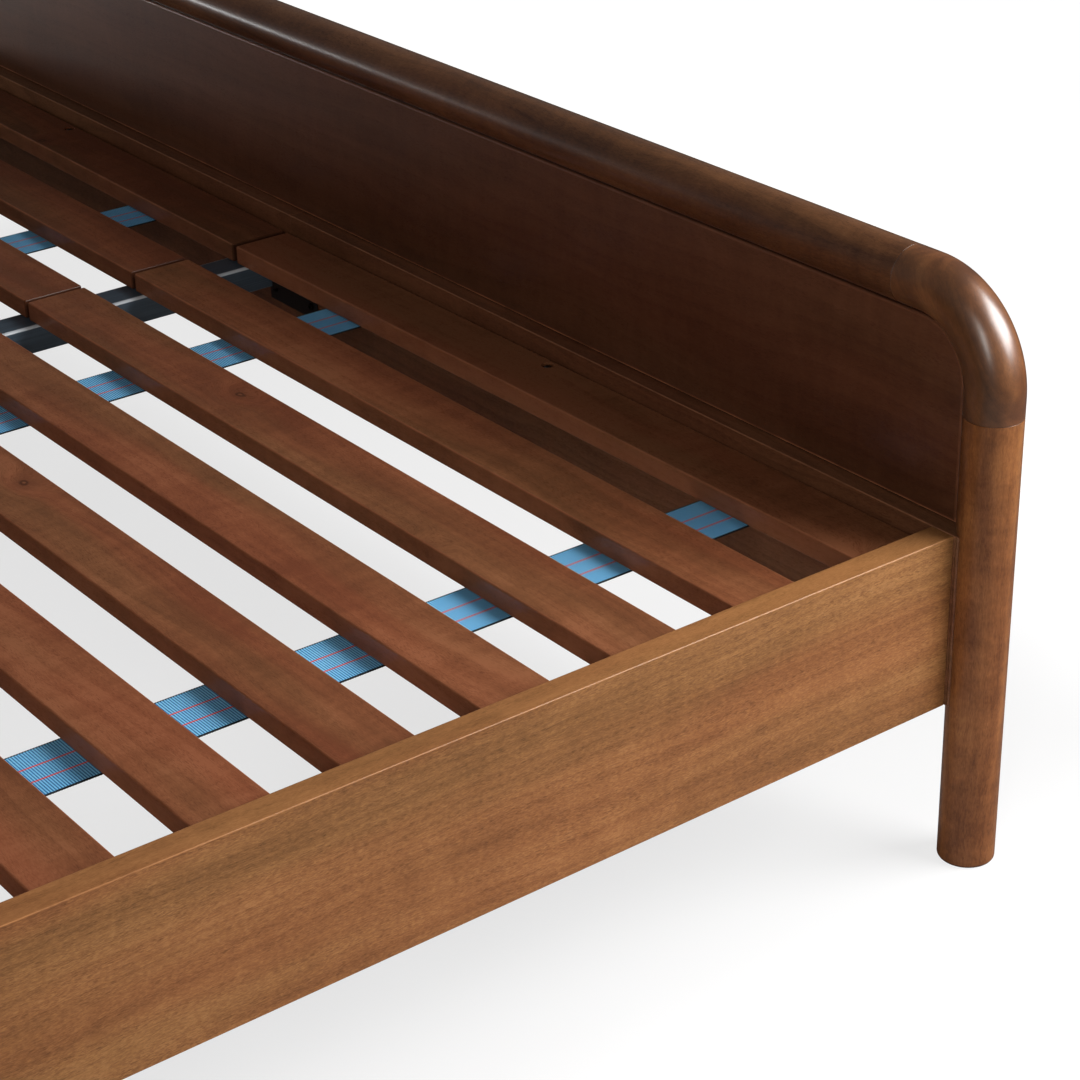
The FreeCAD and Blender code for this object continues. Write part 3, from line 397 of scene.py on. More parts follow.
def powder_coat(name, color, roughness=0.42, arris=None):
    """Powder-coated steel with a fine orange-peel surface and a few rubs.

    arris is the (distance from the middle, height) of a tube's long upper edges, which get a painted
    highlight line."""
    nodes = Nodes(name)
    place = nodes.coordinates()
    peel = nodes.texture(place, (900, 900, 900), 2.0, 0.5)
    cloud = nodes.texture(place, (14, 5, 14), 4.0, 0.6)
    rub = nodes.remap(nodes.texture(place, (160, 30, 160), 5.0, 0.7), 0.62, 0.74)
    base = nodes.ramp(cloud, [(0.3, tinted(color, 0.75, 0.75, 0.75)), (0.7, color)])
    rubbed = tuple(min(1, 2.2 * value + 0.01) for value in color)
    base = nodes.mix(nodes.math("MULTIPLY", rub, 0.25), base, rubbed)
    if arris:
        brushed = nodes.texture(place, (900, 5, 900), 3.0, 0.6)
        base = nodes.mix(nodes.remap(brushed, 0.4, 0.7, 0.0, 0.35), base, tinted(color, 2, 2, 2))
        x, _, z = nodes.split(place)
        off_x = nodes.math("SUBTRACT", nodes.math("ABSOLUTE", x), arris[0])
        off_z = nodes.math("SUBTRACT", z, arris[1])
        off = nodes.math("MAXIMUM", nodes.math("ABSOLUTE", off_x), nodes.math("ABSOLUTE", off_z))
        # painted highlight: a thin pale line is mixed in along the long upper arrises
        line = nodes.math("MULTIPLY", nodes.remap(off, 0.0021, 0.0012), 0.75)
        base = nodes.mix(line, base, (0.75, 0.8, 0.84))
    gloss = nodes.math("MULTIPLY_ADD", cloud, 0.14, roughness - 0.07)
    return nodes.finish(base, gloss, nodes.bump(peel, 0.18, 0.0003), Metallic=0.0, Specular_IOR_Level=0.6)


def plated(name, color, roughness=0.32):
    """Zinc-plated or blackened steel with a cloudy plating."""
    nodes = Nodes(name)
    place = nodes.coordinates()
    cloud = nodes.texture(place, (180, 180, 180), 4.0, 0.65)
    scratch = nodes.texture(place, (2200, 300, 2200), 2.0, 0.5)
    base = nodes.ramp(cloud, [(0.3, tinted(color, 0.7, 0.7, 0.7)), (0.7, color)])
    gloss = nodes.math("MULTIPLY_ADD", scratch, 0.2, roughness - 0.1)
    return nodes.finish(base, gloss, nodes.bump(scratch, 0.12, 0.0002), Metallic=1.0)


def moulded(name, color):
    """Moulded black plastic with a fine spark texture."""
    nodes = Nodes(name)
    place = nodes.coordinates()
    grit = nodes.texture(place, (1500, 1500, 1500), 2.0, 0.5)
    base = nodes.ramp(grit, [(0.35, tinted(color, 0.8, 0.8, 0.8)), (0.65, tinted(color, 1.2, 1.2, 1.2))])
    return nodes.finish(base, 0.5, nodes.bump(grit, 0.3, 0.0002))


def plain_timber(name, dark, light):
    """Timber for CAD nodes that keep their own mesh: the fibres run along Y."""
    nodes = Nodes(name)
    place = nodes.coordinates()
    streak = nodes.texture(place, (60, 2.4, 60), 5.0, 0.6)
    fibre = nodes.texture(place, (800, 24, 800), 3.0, 0.6)
    tone = nodes.weigh(fibre, 0.5, 0.5, streak)
    color = nodes.ramp(tone, [(0.3, dark), (0.7, light)])
    return nodes.finish(color, 0.5, nodes.bump(fibre, 0.2, 0.0003))


# Base colours are set by measure for this light, so a darker one may stand for shade too.
ROUND_WOOD = {"rings": 0.12, "ring_pitch": 0.010, "pores": 0.35, "red": 0.25, "fineness": 1.3}
TURNED = wood("turned_wood", (0.262, 0.100, 0.031), clouds=1.9, streaks=0.8, fibres=1.0, ripples=0.8,
              roughness=0.36, coat=0.7, **ROUND_WOOD)
BENT = wood("bent_wood", (0.174, 0.065, 0.0215), clouds=2.5, streaks=0.7, fibres=1.0, ripples=0.8,
            roughness=0.40, coat_ior=1.8, coat_roughness=0.31, **ROUND_WOOD)
TOP_RAIL = wood("top_rail_wood", (0.158, 0.060, 0.022), clouds=1.7, streaks=0.8, fibres=1.0,
                ripples=0.7, roughness=0.36, coat_ior=1.6, **ROUND_WOOD)
RAIL = wood("rail_wood", (0.262, 0.108, 0.037), clouds=1.1, streaks=0.3, fibres=1.7, ripples=0.45,
            rings=0.13, ring_pitch=0.012, pores=0.45, roughness=0.42, red=0.35, coat=0.5,
            fineness=1.9, wander=0.45)
# the lower rails' rub brightens their painted highlight lines
LOWER_RAIL = wood("lower_rail_wood", (0.222, 0.090, 0.042), clouds=0.9, streaks=0.6, fibres=0.9,
                  ripples=0.35, rings=0.15, ring_pitch=0.011, pores=0.3, roughness=0.42, coat=0.6,
                  fineness=1.4, rub=1.25)
# the panels' rub brightens the painted highlight along their bottom edge
PANEL = wood("panel_wood", (0.124, 0.045, 0.021), clouds=1.0, streaks=0.3, fibres=0.5, ripples=0.5,
             rings=0.08, ring_pitch=0.02, pores=0.2, roughness=0.42, red=0.3, coat=0.6, rub=3.0)
SLAT = wood("slat_wood", (0.240, 0.083, 0.036), clouds=2.6, streaks=0.7, fibres=1.3, ripples=1.2,
            rings=0.16, ring_pitch=0.012, pores=0.3, knots=1.0, roughness=0.46, red=0.6, coat=0.35,
            fineness=1.5)
WEBBING = webbing("webbing")
BLACK_STEEL = powder_coat("black_steel", from_display(84, 98, 108))
# the beam's long upper arrises get a painted highlight line
BEAM_STEEL = powder_coat("beam_steel", from_display(66, 80, 92), 0.36,
                         arris=(high("centre_beam").x - 0.001, high("centre_beam").z - 0.001))
DARK_STEEL = powder_coat("dark_steel", from_display(42, 30, 25), 0.55)
DARK_SCREW = plated("dark_screw", (0.05, 0.038, 0.03), 0.45)
ZINC = plated("zinc_steel", (0.72, 0.70, 0.64), 0.26)
BLACK_SCREW = plated("black_screw", (0.16, 0.16, 0.15), 0.2)
GLIDE_STEEL = plated("glide_steel", (0.20, 0.20, 0.21), 0.38)
PLASTIC = moulded("black_plastic", (0.02, 0.02, 0.02))
HIDDEN_TIMBER = plain_timber("ledger_wood", from_display(92, 50, 32), from_display(150, 92, 62))
DOWEL_TIMBER = plain_timber("dowel_wood", (0.42, 0.27, 0.14), (0.60, 0.43, 0.25))


# ---------------------------------------------------------------------------------------------
# Mesh building. Every piece starts as a loft: rings of points, joined in order and capped at both
# ends. The slats with screws are then cut.

def ring_faces(count, points):
    """The faces that join rings in order, and the two caps."""
    faces = []
    for ring in range(count - 1):
        base = ring * points
        for point in range(points):
            following = (point + 1) % points
            faces.append((base + point, base + following, base + points + following, base + points + point))
    faces.append(tuple(reversed(range(points))))
    faces.append(tuple((count - 1) * points + point for point in range(points)))
    return faces


def set_attributes(mesh, grain, wear_and_painted_light, tone):
    """The three attributes that the wood reads, for every vertex."""
    attribute = mesh.attributes.new("grain", "FLOAT_VECTOR", "POINT")
    attribute.data.foreach_set("vector", np.asarray(grain, np.float32).ravel())
    for name, values in (("wear_and_painted_light", wear_and_painted_light), ("tone", np.full(len(mesh.vertices), tone))):
        attribute = mesh.attributes.new(name, "FLOAT", "POINT")
        attribute.data.foreach_set("value", np.asarray(values, np.float32).ravel())


def shade_smooth(mesh):
    """Smooth shading that keeps real edges sharp."""
    mesh.polygons.foreach_set("use_smooth", [True] * len(mesh.polygons))
    mesh.set_sharp_from_angle(angle=SMOOTH_ANGLE)


def loft(name, rings, grain_frame, wear_and_painted_light, material, nodes, tone=0.0):
    """A closed mesh from rings (count, points, 3), with its grain, its wear and painted light, and its
    tone.
    """
    rings = np.asarray(rings, float)
    count, points, _ = rings.shape
    vertices = rings.reshape(-1, 3)
    mesh = bpy.data.meshes.new(name)
    mesh.from_pydata(vertices.tolist(), [], ring_faces(count, points))
    mesh.validate()
    set_attributes(mesh, grain_frame(vertices), wear_and_painted_light, tone)
    mesh.materials.append(material)
    item = bpy.data.objects.new(name, mesh)
    bpy.context.scene.collection.objects.link(item)
    if signed_volume(vertices, mesh) < 0:
        mesh.flip_normals()
    shade_smooth(mesh)
    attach(item, BODY)
    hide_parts(*nodes)
    return item


def signed_volume(vertices, mesh):
    """Positive where the faces point outwards."""
    mesh.calc_loop_triangles()
    corners = np.array([triangle.vertices[:] for triangle in mesh.loop_triangles])
    a, b, c = (vertices[corners[:, number]] for number in range(3))
    return float(np.einsum("ij,ij->i", a, np.cross(b, c)).sum() / 6)


def plank_frame(axis, centre, key, pith=(0.10, 0.32), tilt=0.012):
    """Maps a point to its place in the plank that a piece was cut from.

    axis runs along the fibres. Each piece has its own pith, tilt and length offset."""
    rng = random.Random(f"{SEED}-{key}")
    axis = np.array(axis, float)
    axis /= np.linalg.norm(axis)
    helper = np.array((0.0, 0.0, 1.0)) if abs(axis[2]) < 0.9 else np.array((1.0, 0.0, 0.0))
    side = np.cross(axis, helper)
    side /= np.linalg.norm(side)
    up = np.cross(side, axis)
    distance = rng.uniform(*pith)
    angle = rng.uniform(0, 2 * math.pi)
    shift = rng.uniform(-30, 30)
    lean_side = rng.uniform(-tilt, tilt)
    lean_up = rng.uniform(-tilt, tilt)
    middle = np.array(centre, float)

    def place(points):
        local = points - middle
        along = local @ axis
        across = local @ side + distance * math.cos(angle) + lean_side * along
        through = local @ up + distance * math.sin(angle) + lean_up * along
        return np.stack((along + shift, across, through), 1)

    return place


def rounded_profile(half_width, half_height, radius):
    """Points round a rectangle with round corners, and how far each is into a corner."""
    steps = 4
    support = 0.0005
    points = []
    worn_and_painted_light = []
    for number, (side_x, side_y) in enumerate(((1, 1), (-1, 1), (-1, -1), (1, -1))):
        centre_x = side_x * (half_width - radius)
        centre_y = side_y * (half_height - radius)
        start = number * math.pi / 2
        before = (math.cos(start + math.pi / 2), math.sin(start + math.pi / 2))
        first = (centre_x + radius * math.cos(start), centre_y + radius * math.sin(start))
        points.append((first[0] - support * before[0], first[1] - support * before[1]))
        worn_and_painted_light.append(0.0)
        for step in range(steps + 1):
            angle = start + step / steps * math.pi / 2
            points.append((centre_x + radius * math.cos(angle), centre_y + radius * math.sin(angle)))
            worn_and_painted_light.append(math.sin(step / steps * math.pi))
        end = start + math.pi / 2
        after = (math.cos(end + math.pi / 2), math.sin(end + math.pi / 2))
        last = points[-1]
        points.append((last[0] + support * after[0], last[1] + support * after[1]))
        worn_and_painted_light.append(0.0)
    return np.array(points), np.array(worn_and_painted_light)


def bar_rings(start, end, axis, arris, stations=2):
    """Rings of a bar between two corners, with every arris rounded. axis is 0, 1 or 2."""
    steps = 4
    least_radius = 0.0002
    start = np.array(start, float)
    end = np.array(end, float)
    others = [number for number in range(3) if number != axis]
    centre = (start + end) / 2
    half = (end - start) / 2
    # each place is the ring's inset, its distance from the end and its wear and painted highlight, from the
    # cap inwards
    places = [(arris + SUPPORT, 0.0, 0.0)]
    for step in range(steps + 1):
        angle = step / steps * math.pi / 2
        places.append((arris * (1 - math.sin(angle)), arris * (1 - math.cos(angle)), math.sin(2 * angle)))
    sequence = [(start[axis] + distance, inset, worn_and_painted_light) for inset, distance, worn_and_painted_light in places]
    body = np.linspace(start[axis] + arris + SUPPORT, end[axis] - arris - SUPPORT, stations)
    sequence += [(place, 0.0, 0.0) for place in body]
    sequence += [(end[axis] - distance, inset, worn_and_painted_light) for inset, distance, worn_and_painted_light in reversed(places)]
    rings = []
    wear_and_painted_light = []
    for place, inset, worn_and_painted_light in sequence:
        radius = max(arris - inset, least_radius)
        profile, rounded = rounded_profile(half[others[0]] - inset, half[others[1]] - inset, radius)
        ring = np.zeros((len(profile), 3))
        ring[:, axis] = place
        ring[:, others[0]] = centre[others[0]] + profile[:, 0]
        ring[:, others[1]] = centre[others[1]] + profile[:, 1]
        rings.append(ring)
        wear_and_painted_light.append(np.maximum(rounded, worn_and_painted_light))
    return np.array(rings), np.array(wear_and_painted_light)


def tube_rings(path, radius):
    """Rings along a path of (point, direction, inset), which lies in a plane y = constant."""
    angles = np.linspace(0, 2 * math.pi, AROUND_TUBE, endpoint=False)
    rings = []
    for point, direction, inset in path:
        point = np.array(point, float)
        direction = np.array(direction, float)
        direction /= np.linalg.norm(direction)
        side = np.array((0.0, 1.0, 0.0))
        up = np.cross(direction, side)
        size = radius - inset
        ring = point + size * (np.outer(np.cos(angles), side) + np.outer(np.sin(angles), up))
        rings.append(ring)
    return np.array(rings)


def wear_of(path):
    """Wear for a tube: on the rings that are drawn in, which are its eased ends."""
    return np.array([[wear_at(inset)] * AROUND_TUBE for _, _, inset in path])


def wear_at(inset):
    """A post's foot is rubbed lighter; a glued seam is a fine dark line."""
    if inset < 0.00005 or inset > 0.0035:
        return 0.0
    return -1.0 if inset <= SEAM_EASE + 0.001 else 0.6


def end_path(point, inwards, ease):
    """The rings of a tube's flat end: a cap, then a quarter-round to the full section."""
    steps = 4
    rings = [(point, ease + SUPPORT)]
    for step in range(steps + 1):
        angle = step / steps * math.pi / 2
        rings.append((point + inwards * ease * (1 - math.cos(angle)), ease * (1 - math.sin(angle))))
    rings.append((point + inwards * (ease + SUPPORT), 0.0))
    return rings


def straight_tube(name, node, start, end, radius, start_ease, end_ease, grain_axis, material):
    """A round bar between two points, with an eased rim at each end."""
    start = np.array(start, float)
    end = np.array(end, float)
    inwards = (end - start) / np.linalg.norm(end - start)
    path = [(point, inwards, inset) for point, inset in end_path(start, inwards, start_ease)]
    for part in np.linspace(0.1, 0.9, 7):
        path.append((start + (end - start) * part, inwards, 0.0))
    path += [(point, inwards, inset) for point, inset in reversed(end_path(end, -inwards, end_ease))]
    plank = plank_frame(grain_axis, (start + end) / 2, name, (0.02, 0.09), 0.03)
    rings = tube_rings(path, radius)
    loft(name, rings, plank, wear_of(path), material, [node])


def post(word, side_word, side):
    """A round post."""
    node = f"{word}_post_{side_word}"
    corner = f"{word}_corner_{side_word}"
    x = side * (high(corner).x if side > 0 else -low(corner).x) - side * POST_RADIUS
    y = (low(node).y + high(node).y) / 2
    top = high(node).z
    straight_tube(node + "_turned", node, (x, y, 0), (x, y, top), POST_RADIUS, FOOT_EASE, SEAM_EASE,
                  (0.02, 0.01, 1), TURNED)


def corner(word, side_word, side):
    """A bent corner piece between a post and the top rail."""
    node = f"{word}_corner_{side_word}"
    rail = f"{word}_top_rail"
    bottom = low(node).z
    axis_z = high(node).z - POST_RADIUS
    x = side * (high(node).x if side > 0 else -low(node).x) - side * POST_RADIUS
    rail_end = high(rail).x if side > 0 else low(rail).x
    y = (low(node).y + high(node).y) / 2
    bend = abs(x - rail_end) - BEND_ARM
    inwards = np.array((-side, 0.0, 0.0))
    up = np.array((0.0, 0.0, 1.0))
    start = np.array((x, y, bottom))
    centre = np.array((x - side * bend, y, axis_z - bend))
    path = [(point, up, inset) for point, inset in end_path(start, up, SEAM_EASE)]
    turns = 40
    for step in range(turns + 1):
        angle = step / turns * math.pi / 2
        point = centre + bend * (-inwards * math.cos(angle) + up * math.sin(angle))
        direction = inwards * math.sin(angle) + up * math.cos(angle)
        path.append((point, direction, 0.0))
    end = np.array((rail_end, y, axis_z))
    path += [(point, inwards, inset) for point, inset in reversed(end_path(end, -inwards, SEAM_EASE))]
    plank = plank_frame((side * 0.75, 0.12, -1), (x, y, axis_z), node, (0.03, 0.08), 0.03)
    rings = tube_rings(path, POST_RADIUS)
    loft(node + "_bend", rings, plank, wear_of(path), BENT, [node])


def top_rail(word):
    """A round top rail."""
    node = f"{word}_top_rail"
    start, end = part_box(node)
    y = (start.y + end.y) / 2
    z = end.z - POST_RADIUS
    straight_tube(node + "_turned", node, (start.x, y, z), (end.x, y, z), POST_RADIUS, SEAM_EASE,
                  SEAM_EASE, (1, 0.004, 0.002), TOP_RAIL)


def outline(word, offset, bottom):
    """The space inside an end frame, a distance in from the centreline of its posts and top rail."""
    corner_node = f"{word}_corner_right"
    axis_x = high(corner_node).x - POST_RADIUS
    axis_z = high(corner_node).z - POST_RADIUS
    bend = axis_x - high(f"{word}_top_rail").x - BEND_ARM
    half = axis_x - offset
    top = axis_z - offset
    radius = bend - offset
    arc_steps = 20
    bottom_edge = 0.005
    points = [(-half, bottom), (half, bottom), (half, bottom + bottom_edge)]
    for centre, turned in ((half - radius, 0.0), (radius - half, math.pi / 2)):
        for step in range(arc_steps + 1):
            angle = turned + step / arc_steps * math.pi / 2
            points.append((centre + radius * math.cos(angle), top - radius + radius * math.sin(angle)))
    points.append((-half, bottom + bottom_edge))
    return np.array(points)


def panel(word):
    """A flat panel with rounded arrises, and a thinner tongue that runs into the frame's grooves."""
    node = f"{word}_panel"
    start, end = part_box(node)
    middle = (start.y + end.y) / 2
    half = (end.y - start.y) / 2
    face_offset = POST_RADIUS + 0.0005
    levels = [(-half, face_offset + PANEL_ARRIS + 0.001, 0.0)]
    steps = 5
    # painted light: the rounding's values paint a highlight on the bottom edge, and the values into the
    # tongue paint shade
    for step, worn_and_painted_light in zip(range(steps + 1), (0.6, 1.8, 2.4, 1.2, -0.4, -1.0)):
        angle = step / steps * math.radians(75)
        inset = PANEL_ARRIS * (1 - math.sin(angle))
        levels.append((-half + PANEL_ARRIS * (1 - math.cos(angle)), face_offset + inset, worn_and_painted_light))
    # the tongue is painted dark as the shade in the frame's grooves
    levels.append((-TONGUE_HALF, face_offset + 0.0001, -1.0))
    levels.append((-TONGUE_HALF, POST_RADIUS - TONGUE_DEPTH, -1.0))
    levels += [(-level, offset, worn_and_painted_light) for level, offset, worn_and_painted_light in reversed(levels)]
    rings = []
    wear_and_painted_light = []
    for level, offset, worn_and_painted_light in levels:
        points = outline(word, offset, RAIL_TOP + offset - POST_RADIUS)
        rings.append(np.stack((points[:, 0], np.full(len(points), middle + level), points[:, 1]), 1))
        # only the bottom edge, the first two points, gets the bright painted highlight; elsewhere the
        # rounding is only a little lighter, and the painted shade at the tongue runs all round
        wear_and_painted_light.append([worn_and_painted_light if number < 2 else min(worn_and_painted_light, 0.3) for number in range(len(points))])
    plank = plank_frame((1, 0, 0.004), (0, middle, (start.z + end.z) / 2), node, (0.5, 0.9), 0.006)
    loft(node + "_board", rings, plank, wear_and_painted_light, PANEL, [node])


def lower_rail(word, side_word, side):
    """Half of a lower rail, with a fine bead beside its outer end."""
    node = f"{word}_lower_rail_{side_word}"
    start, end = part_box(node)
    rings, wear_and_painted_light = bar_rings(start, end, 0, RAIL_ARRIS)
    # two extra pairs of rings make the bead's groove on the face that looks at the mattress
    outer = end.x if side > 0 else start.x
    inner_face = start.y if word == "head" else end.y
    inwards = 1 if word == "head" else -1
    bead_out = outer - side * 0.0018
    bead_in = outer - side * 0.0030
    wall = side * 0.00015
    groove_depth = 0.0011
    full = rings[len(rings) // 2]
    extra = []
    for x, depth in ((bead_in - wall, 0.0), (bead_in, groove_depth), (bead_out, groove_depth),
                     (bead_out + wall, 0.0)):
        ring = full.copy()
        ring[:, 0] = x
        near = np.abs(ring[:, 1] - inner_face) < 0.0012
        ring[near, 1] += inwards * depth
        extra.append(ring)
    # rings in the end caps share one place, and the sort keeps their order
    order = sorted(list(rings) + extra, key=lambda ring: ring[:, 0].mean())
    # the arrises are rubbed lighter and raised into painted highlight lines, the same on every ring
    worn_and_painted_light = np.tile(1.9 * wear_and_painted_light[len(wear_and_painted_light) // 2], (len(order), 1))
    plank = plank_frame((1, 0, 0), (start + end) / 2, node, (0.3, 0.6), 0.008)
    loft(node + "_board", order, plank, worn_and_painted_light, LOWER_RAIL, [node])


def side_rail(side_word):
    """A side rail: a board with small rounded arrises."""
    node = f"side_rail_{side_word}"
    start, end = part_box(node)
    rings, wear_and_painted_light = bar_rings(start, end, 1, RAIL_ARRIS)
    # painted light: the top is painted lighter than the faces, as the light falls on it, and the arrises
    # lighter again as painted highlight lines
    below_top = rings[:, :, 2] < end.z - ON_FACE
    wear_and_painted_light = np.where(rings[:, :, 2] > end.z - ON_FACE, 1.0, wear_and_painted_light)
    wear_and_painted_light = np.where((wear_and_painted_light > 0) & below_top, 2.0 * wear_and_painted_light, wear_and_painted_light)
    plank = plank_frame((0, 1, 0), (start + end) / 2, node + "_board", (0.05, 0.12), 0.008)
    loft(node + "_board", rings, plank, wear_and_painted_light, RAIL, [node])


def slat_tone_and_shade(node, side, name):
    """Slats differ a little at random. Four halves near the foot are set one by one, to look as shown."""
    tone = random.Random(f"{SEED}-{name}-tone").uniform(-0.04, 0.04)
    # painted shade: the right halves of the first three rows are darkened, and the first row's left half is
    # lightened as painted light
    if side > 0 and node in SLAT_ROWS[:3]:
        tone -= 0.34
    if side < 0 and node == SLAT_ROWS[0]:
        tone += 0.34
    return tone


def slat_row(node):
    """Both halves of a row of slats. The first row sits slightly out of square."""
    start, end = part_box(node)
    width = high(SLAT_ROWS[1]).y - low(SLAT_ROWS[1]).y
    outer = high(SLAT_ROWS[1]).x
    for side in (-1, 1):
        inner = side * SLAT_HALF_GAP
        far = side * outer
        corner_low = (min(inner, far), start.y, start.z)
        corner_high = (max(inner, far), start.y + width, end.z)
        rings, wear_and_painted_light = bar_rings(corner_low, corner_high, 0, SLAT_ARRIS, stations=9)
        # painted light: the narrow faces are painted lighter than the top, the arrises are rubbed lighter
        # and carry painted highlight lines, and the ends in the gap in the middle are painted dark as shade
        from_face = np.minimum(rings[:, :, 1] - corner_low[1], corner_high[1] - rings[:, :, 1])
        narrow = (from_face < ON_FACE) & (rings[:, :, 2] < end.z - 0.0015)
        wear_and_painted_light = np.where(narrow, np.maximum(wear_and_painted_light, 1.0), 2.2 * wear_and_painted_light)
        depth = np.abs(rings[:, :, 0]) - SLAT_HALF_GAP
        wear_and_painted_light = np.where(depth < 0.002, -1.0 + depth / 0.002, wear_and_painted_light)
        name = f"{node}_{'left' if side < 0 else 'right'}"
        centre = (side * outer / 2, start.y + width / 2, start.z)
        plank = plank_frame((1, 0, 0), centre, name, (0.02, 0.30), 0.02)
        if node == SLAT_ROWS[0]:
            pivot = np.array((far, start.y, 0))
            cosine = math.cos(-side * SLAT_SKEW)
            sine = math.sin(-side * SLAT_SKEW)
            turn = np.array(((cosine, sine, 0), (-sine, cosine, 0), (0, 0, 1)))
            rings = (rings - pivot) @ turn + pivot
        tone = slat_tone_and_shade(node, side, name)
        slat = loft(name + "_slat", rings, plank, wear_and_painted_light, SLAT, [node], tone)
        if node in (SLAT_ROWS[0], SLAT_ROWS[-1]):
            across = SCREW_Y if node == SLAT_ROWS[-1] else -SCREW_Y
            counterbore(slat, (side * SCREW_X, across, end.z), plank, tone)


def counterbore(slat, centre, plank, tone):
    """Cuts a screw's round recess into the top of a slat."""
    around = 48
    rim = 0.0004
    angles = np.linspace(0, 2 * math.pi, around, endpoint=False)
    circle = np.stack((np.cos(angles), np.sin(angles), np.zeros(around)), 1)
    levels = ((RECESS_RADIUS, -RECESS_DEPTH), (RECESS_RADIUS, -rim), (RECESS_RADIUS + 2 * rim, rim))
    rings = [np.array(centre) + radius * circle + (0, 0, level) for radius, level in levels]
    drill_mesh = bpy.data.meshes.new("drill")
    drill_mesh.from_pydata(np.concatenate(rings).tolist(), [], ring_faces(len(levels), around))
    drill = bpy.data.objects.new("drill", drill_mesh)
    bpy.context.scene.collection.objects.link(drill)
    before = slat.data
    cut = slat.modifiers.new("recess", "BOOLEAN")
    cut.object = drill
    cut.operation = "DIFFERENCE"
    cut.solver = "EXACT"
    bpy.context.view_layer.update()
    depsgraph = bpy.context.evaluated_depsgraph_get()
    after = bpy.data.meshes.new_from_object(slat.evaluated_get(depsgraph))
    slat.modifiers.remove(cut)
    bpy.data.objects.remove(drill)
    bpy.data.meshes.remove(drill_mesh)
    old = KDTree(len(before.vertices))
    for number, vertex in enumerate(before.vertices):
        old.insert(vertex.co, number)
    old.balance()
    # a vertex that was there before keeps its wear and painted light; the new ones in the recess are
    # painted dark as shade
    worn_and_painted_light = []
    for vertex in after.vertices:
        _, number, distance = old.find(vertex.co)
        in_recess = vertex.co.z < centre[2] - 0.001
        worn_and_painted_light.append(before.attributes["wear_and_painted_light"].data[number].value if distance < 1e-6 else -0.8 * in_recess)
    for name in ("wear_and_painted_light", "grain", "tone"):
        if name in after.attributes:
            after.attributes.remove(after.attributes[name])
    set_attributes(after, plank(np.array([vertex.co for vertex in after.vertices])), worn_and_painted_light, tone)
    name = before.name
    slat.data = after
    bpy.data.meshes.remove(before)
    after.name = name
    shade_smooth(after)


def slat_screw(name, x, y):
    """A countersunk screw with a cross recess in its head."""
    node = "slat_screws"
    bottom = low(node).z
    top = high(node).z - 0.0003
    around = 64
    angles = np.linspace(0, 2 * math.pi, around, endpoint=False)
    quarter = (angles + math.pi / 4) % (math.pi / 2) - math.pi / 4
    cross = np.minimum(0.0021 / np.cos(quarter), 0.0005 / np.maximum(np.abs(np.sin(quarter)), 0.05))
    # radius and height of the point, the thread, the shank and the head
    sections = [(0.0002, bottom), (0.0013, bottom + 0.004)]
    for number, level in enumerate(np.arange(bottom + 0.005, top - 0.012, 0.0009)):
        sections.append((0.0019 if number % 2 else 0.0014, level))
    for radius, depth in ((0.0019, 0.010), (0.0019, 0.0042), (0.0040, 0.0023), (0.0042, 0.0020),
                          (0.0041, 0.0016), (0.0038, 0.0009), (0.0033, 0.0004), (0.0026, 0.0)):
        sections.append((radius, top - depth))
    for scale, depth in ((1.0, 0.0001), (0.9, 0.0012), (0.45, 0.0017)):
        sections.append((scale * cross, top - depth))
    rings = [np.stack((x + radius * np.cos(angles), y + radius * np.sin(angles), np.full(around, level)), 1)
             for radius, level in sections]
    no_wear = np.zeros((len(rings), around))
    loft(name, rings, lambda points: points, no_wear, BLACK_SCREW, [node])


def strap(node):
    """Ribbed webbing, stretched under the slats. The ribs run across it."""
    start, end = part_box(node)
    centre = (start.x + end.x) / 2
    half = (end.x - start.x) / 2
    rib_pitch = 0.0023
    rib_height = 0.00022
    ribs = int((end.y - start.y) / rib_pitch)
    lines = np.linspace(start.y, end.y, 2 * ribs + 1)
    columns = np.array((-1, -0.97, -0.94, -0.5, 0, 0.5, 0.94, 0.97, 1)) * half
    thickness = (end.z - start.z) - 2 * rib_height
    # the selvedges are thinner than the middle
    thinner = np.array([0.3 * thickness] + [0.0] * (len(columns) - 2) + [0.3 * thickness])
    rings = []
    heights = []
    for number, y in enumerate(lines):
        ridge = number % 2
        raised = rib_height * ridge
        top = start.z + rib_height + thickness + raised - rib_height * 0.02 - thinner
        bottom = start.z + rib_height - raised + thinner
        upper = np.stack((centre + columns, np.full(len(columns), y), top), 1)
        lower = np.stack((centre + columns, np.full(len(columns), y), bottom), 1)
        rings.append(np.concatenate((upper, lower[::-1])))
        heights.append([float(ridge)] * (2 * len(columns)))

    def weave(points):
        return np.stack((points[:, 0] - centre, points[:, 1], np.array(heights).ravel()), 1)

    no_wear = np.zeros(np.shape(heights))
    item = loft(node + "_webbing", rings, weave, no_wear, WEBBING, [node])
    item.data.attributes["grain"].name = "weave"


def build_pieces():
    """Every piece that stands for a CAD node."""
    for word in ("foot", "head"):
        for side_word, side in (("left", -1), ("right", 1)):
            post(word, side_word, side)
            corner(word, side_word, side)
            lower_rail(word, side_word, side)
        top_rail(word)
        panel(word)
    for side_word in ("left", "right"):
        side_rail(side_word)
    for node in SLAT_ROWS:
        slat_row(node)
    for end_word, y in (("foot", -SCREW_Y), ("head", SCREW_Y)):
        for side_word, x in (("left", -SCREW_X), ("right", SCREW_X)):
            slat_screw(f"slat_screw_{end_word}_{side_word}", x, y)
    for node in ("strap_outer_left", "strap_inner_left", "strap_inner_right", "strap_outer_right"):
        strap(node)


def dress(node, material):
    """A CAD node that keeps its own mesh gets its finished material."""
    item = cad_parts[node]
    item.data.materials.clear()
    item.data.materials.append(material)


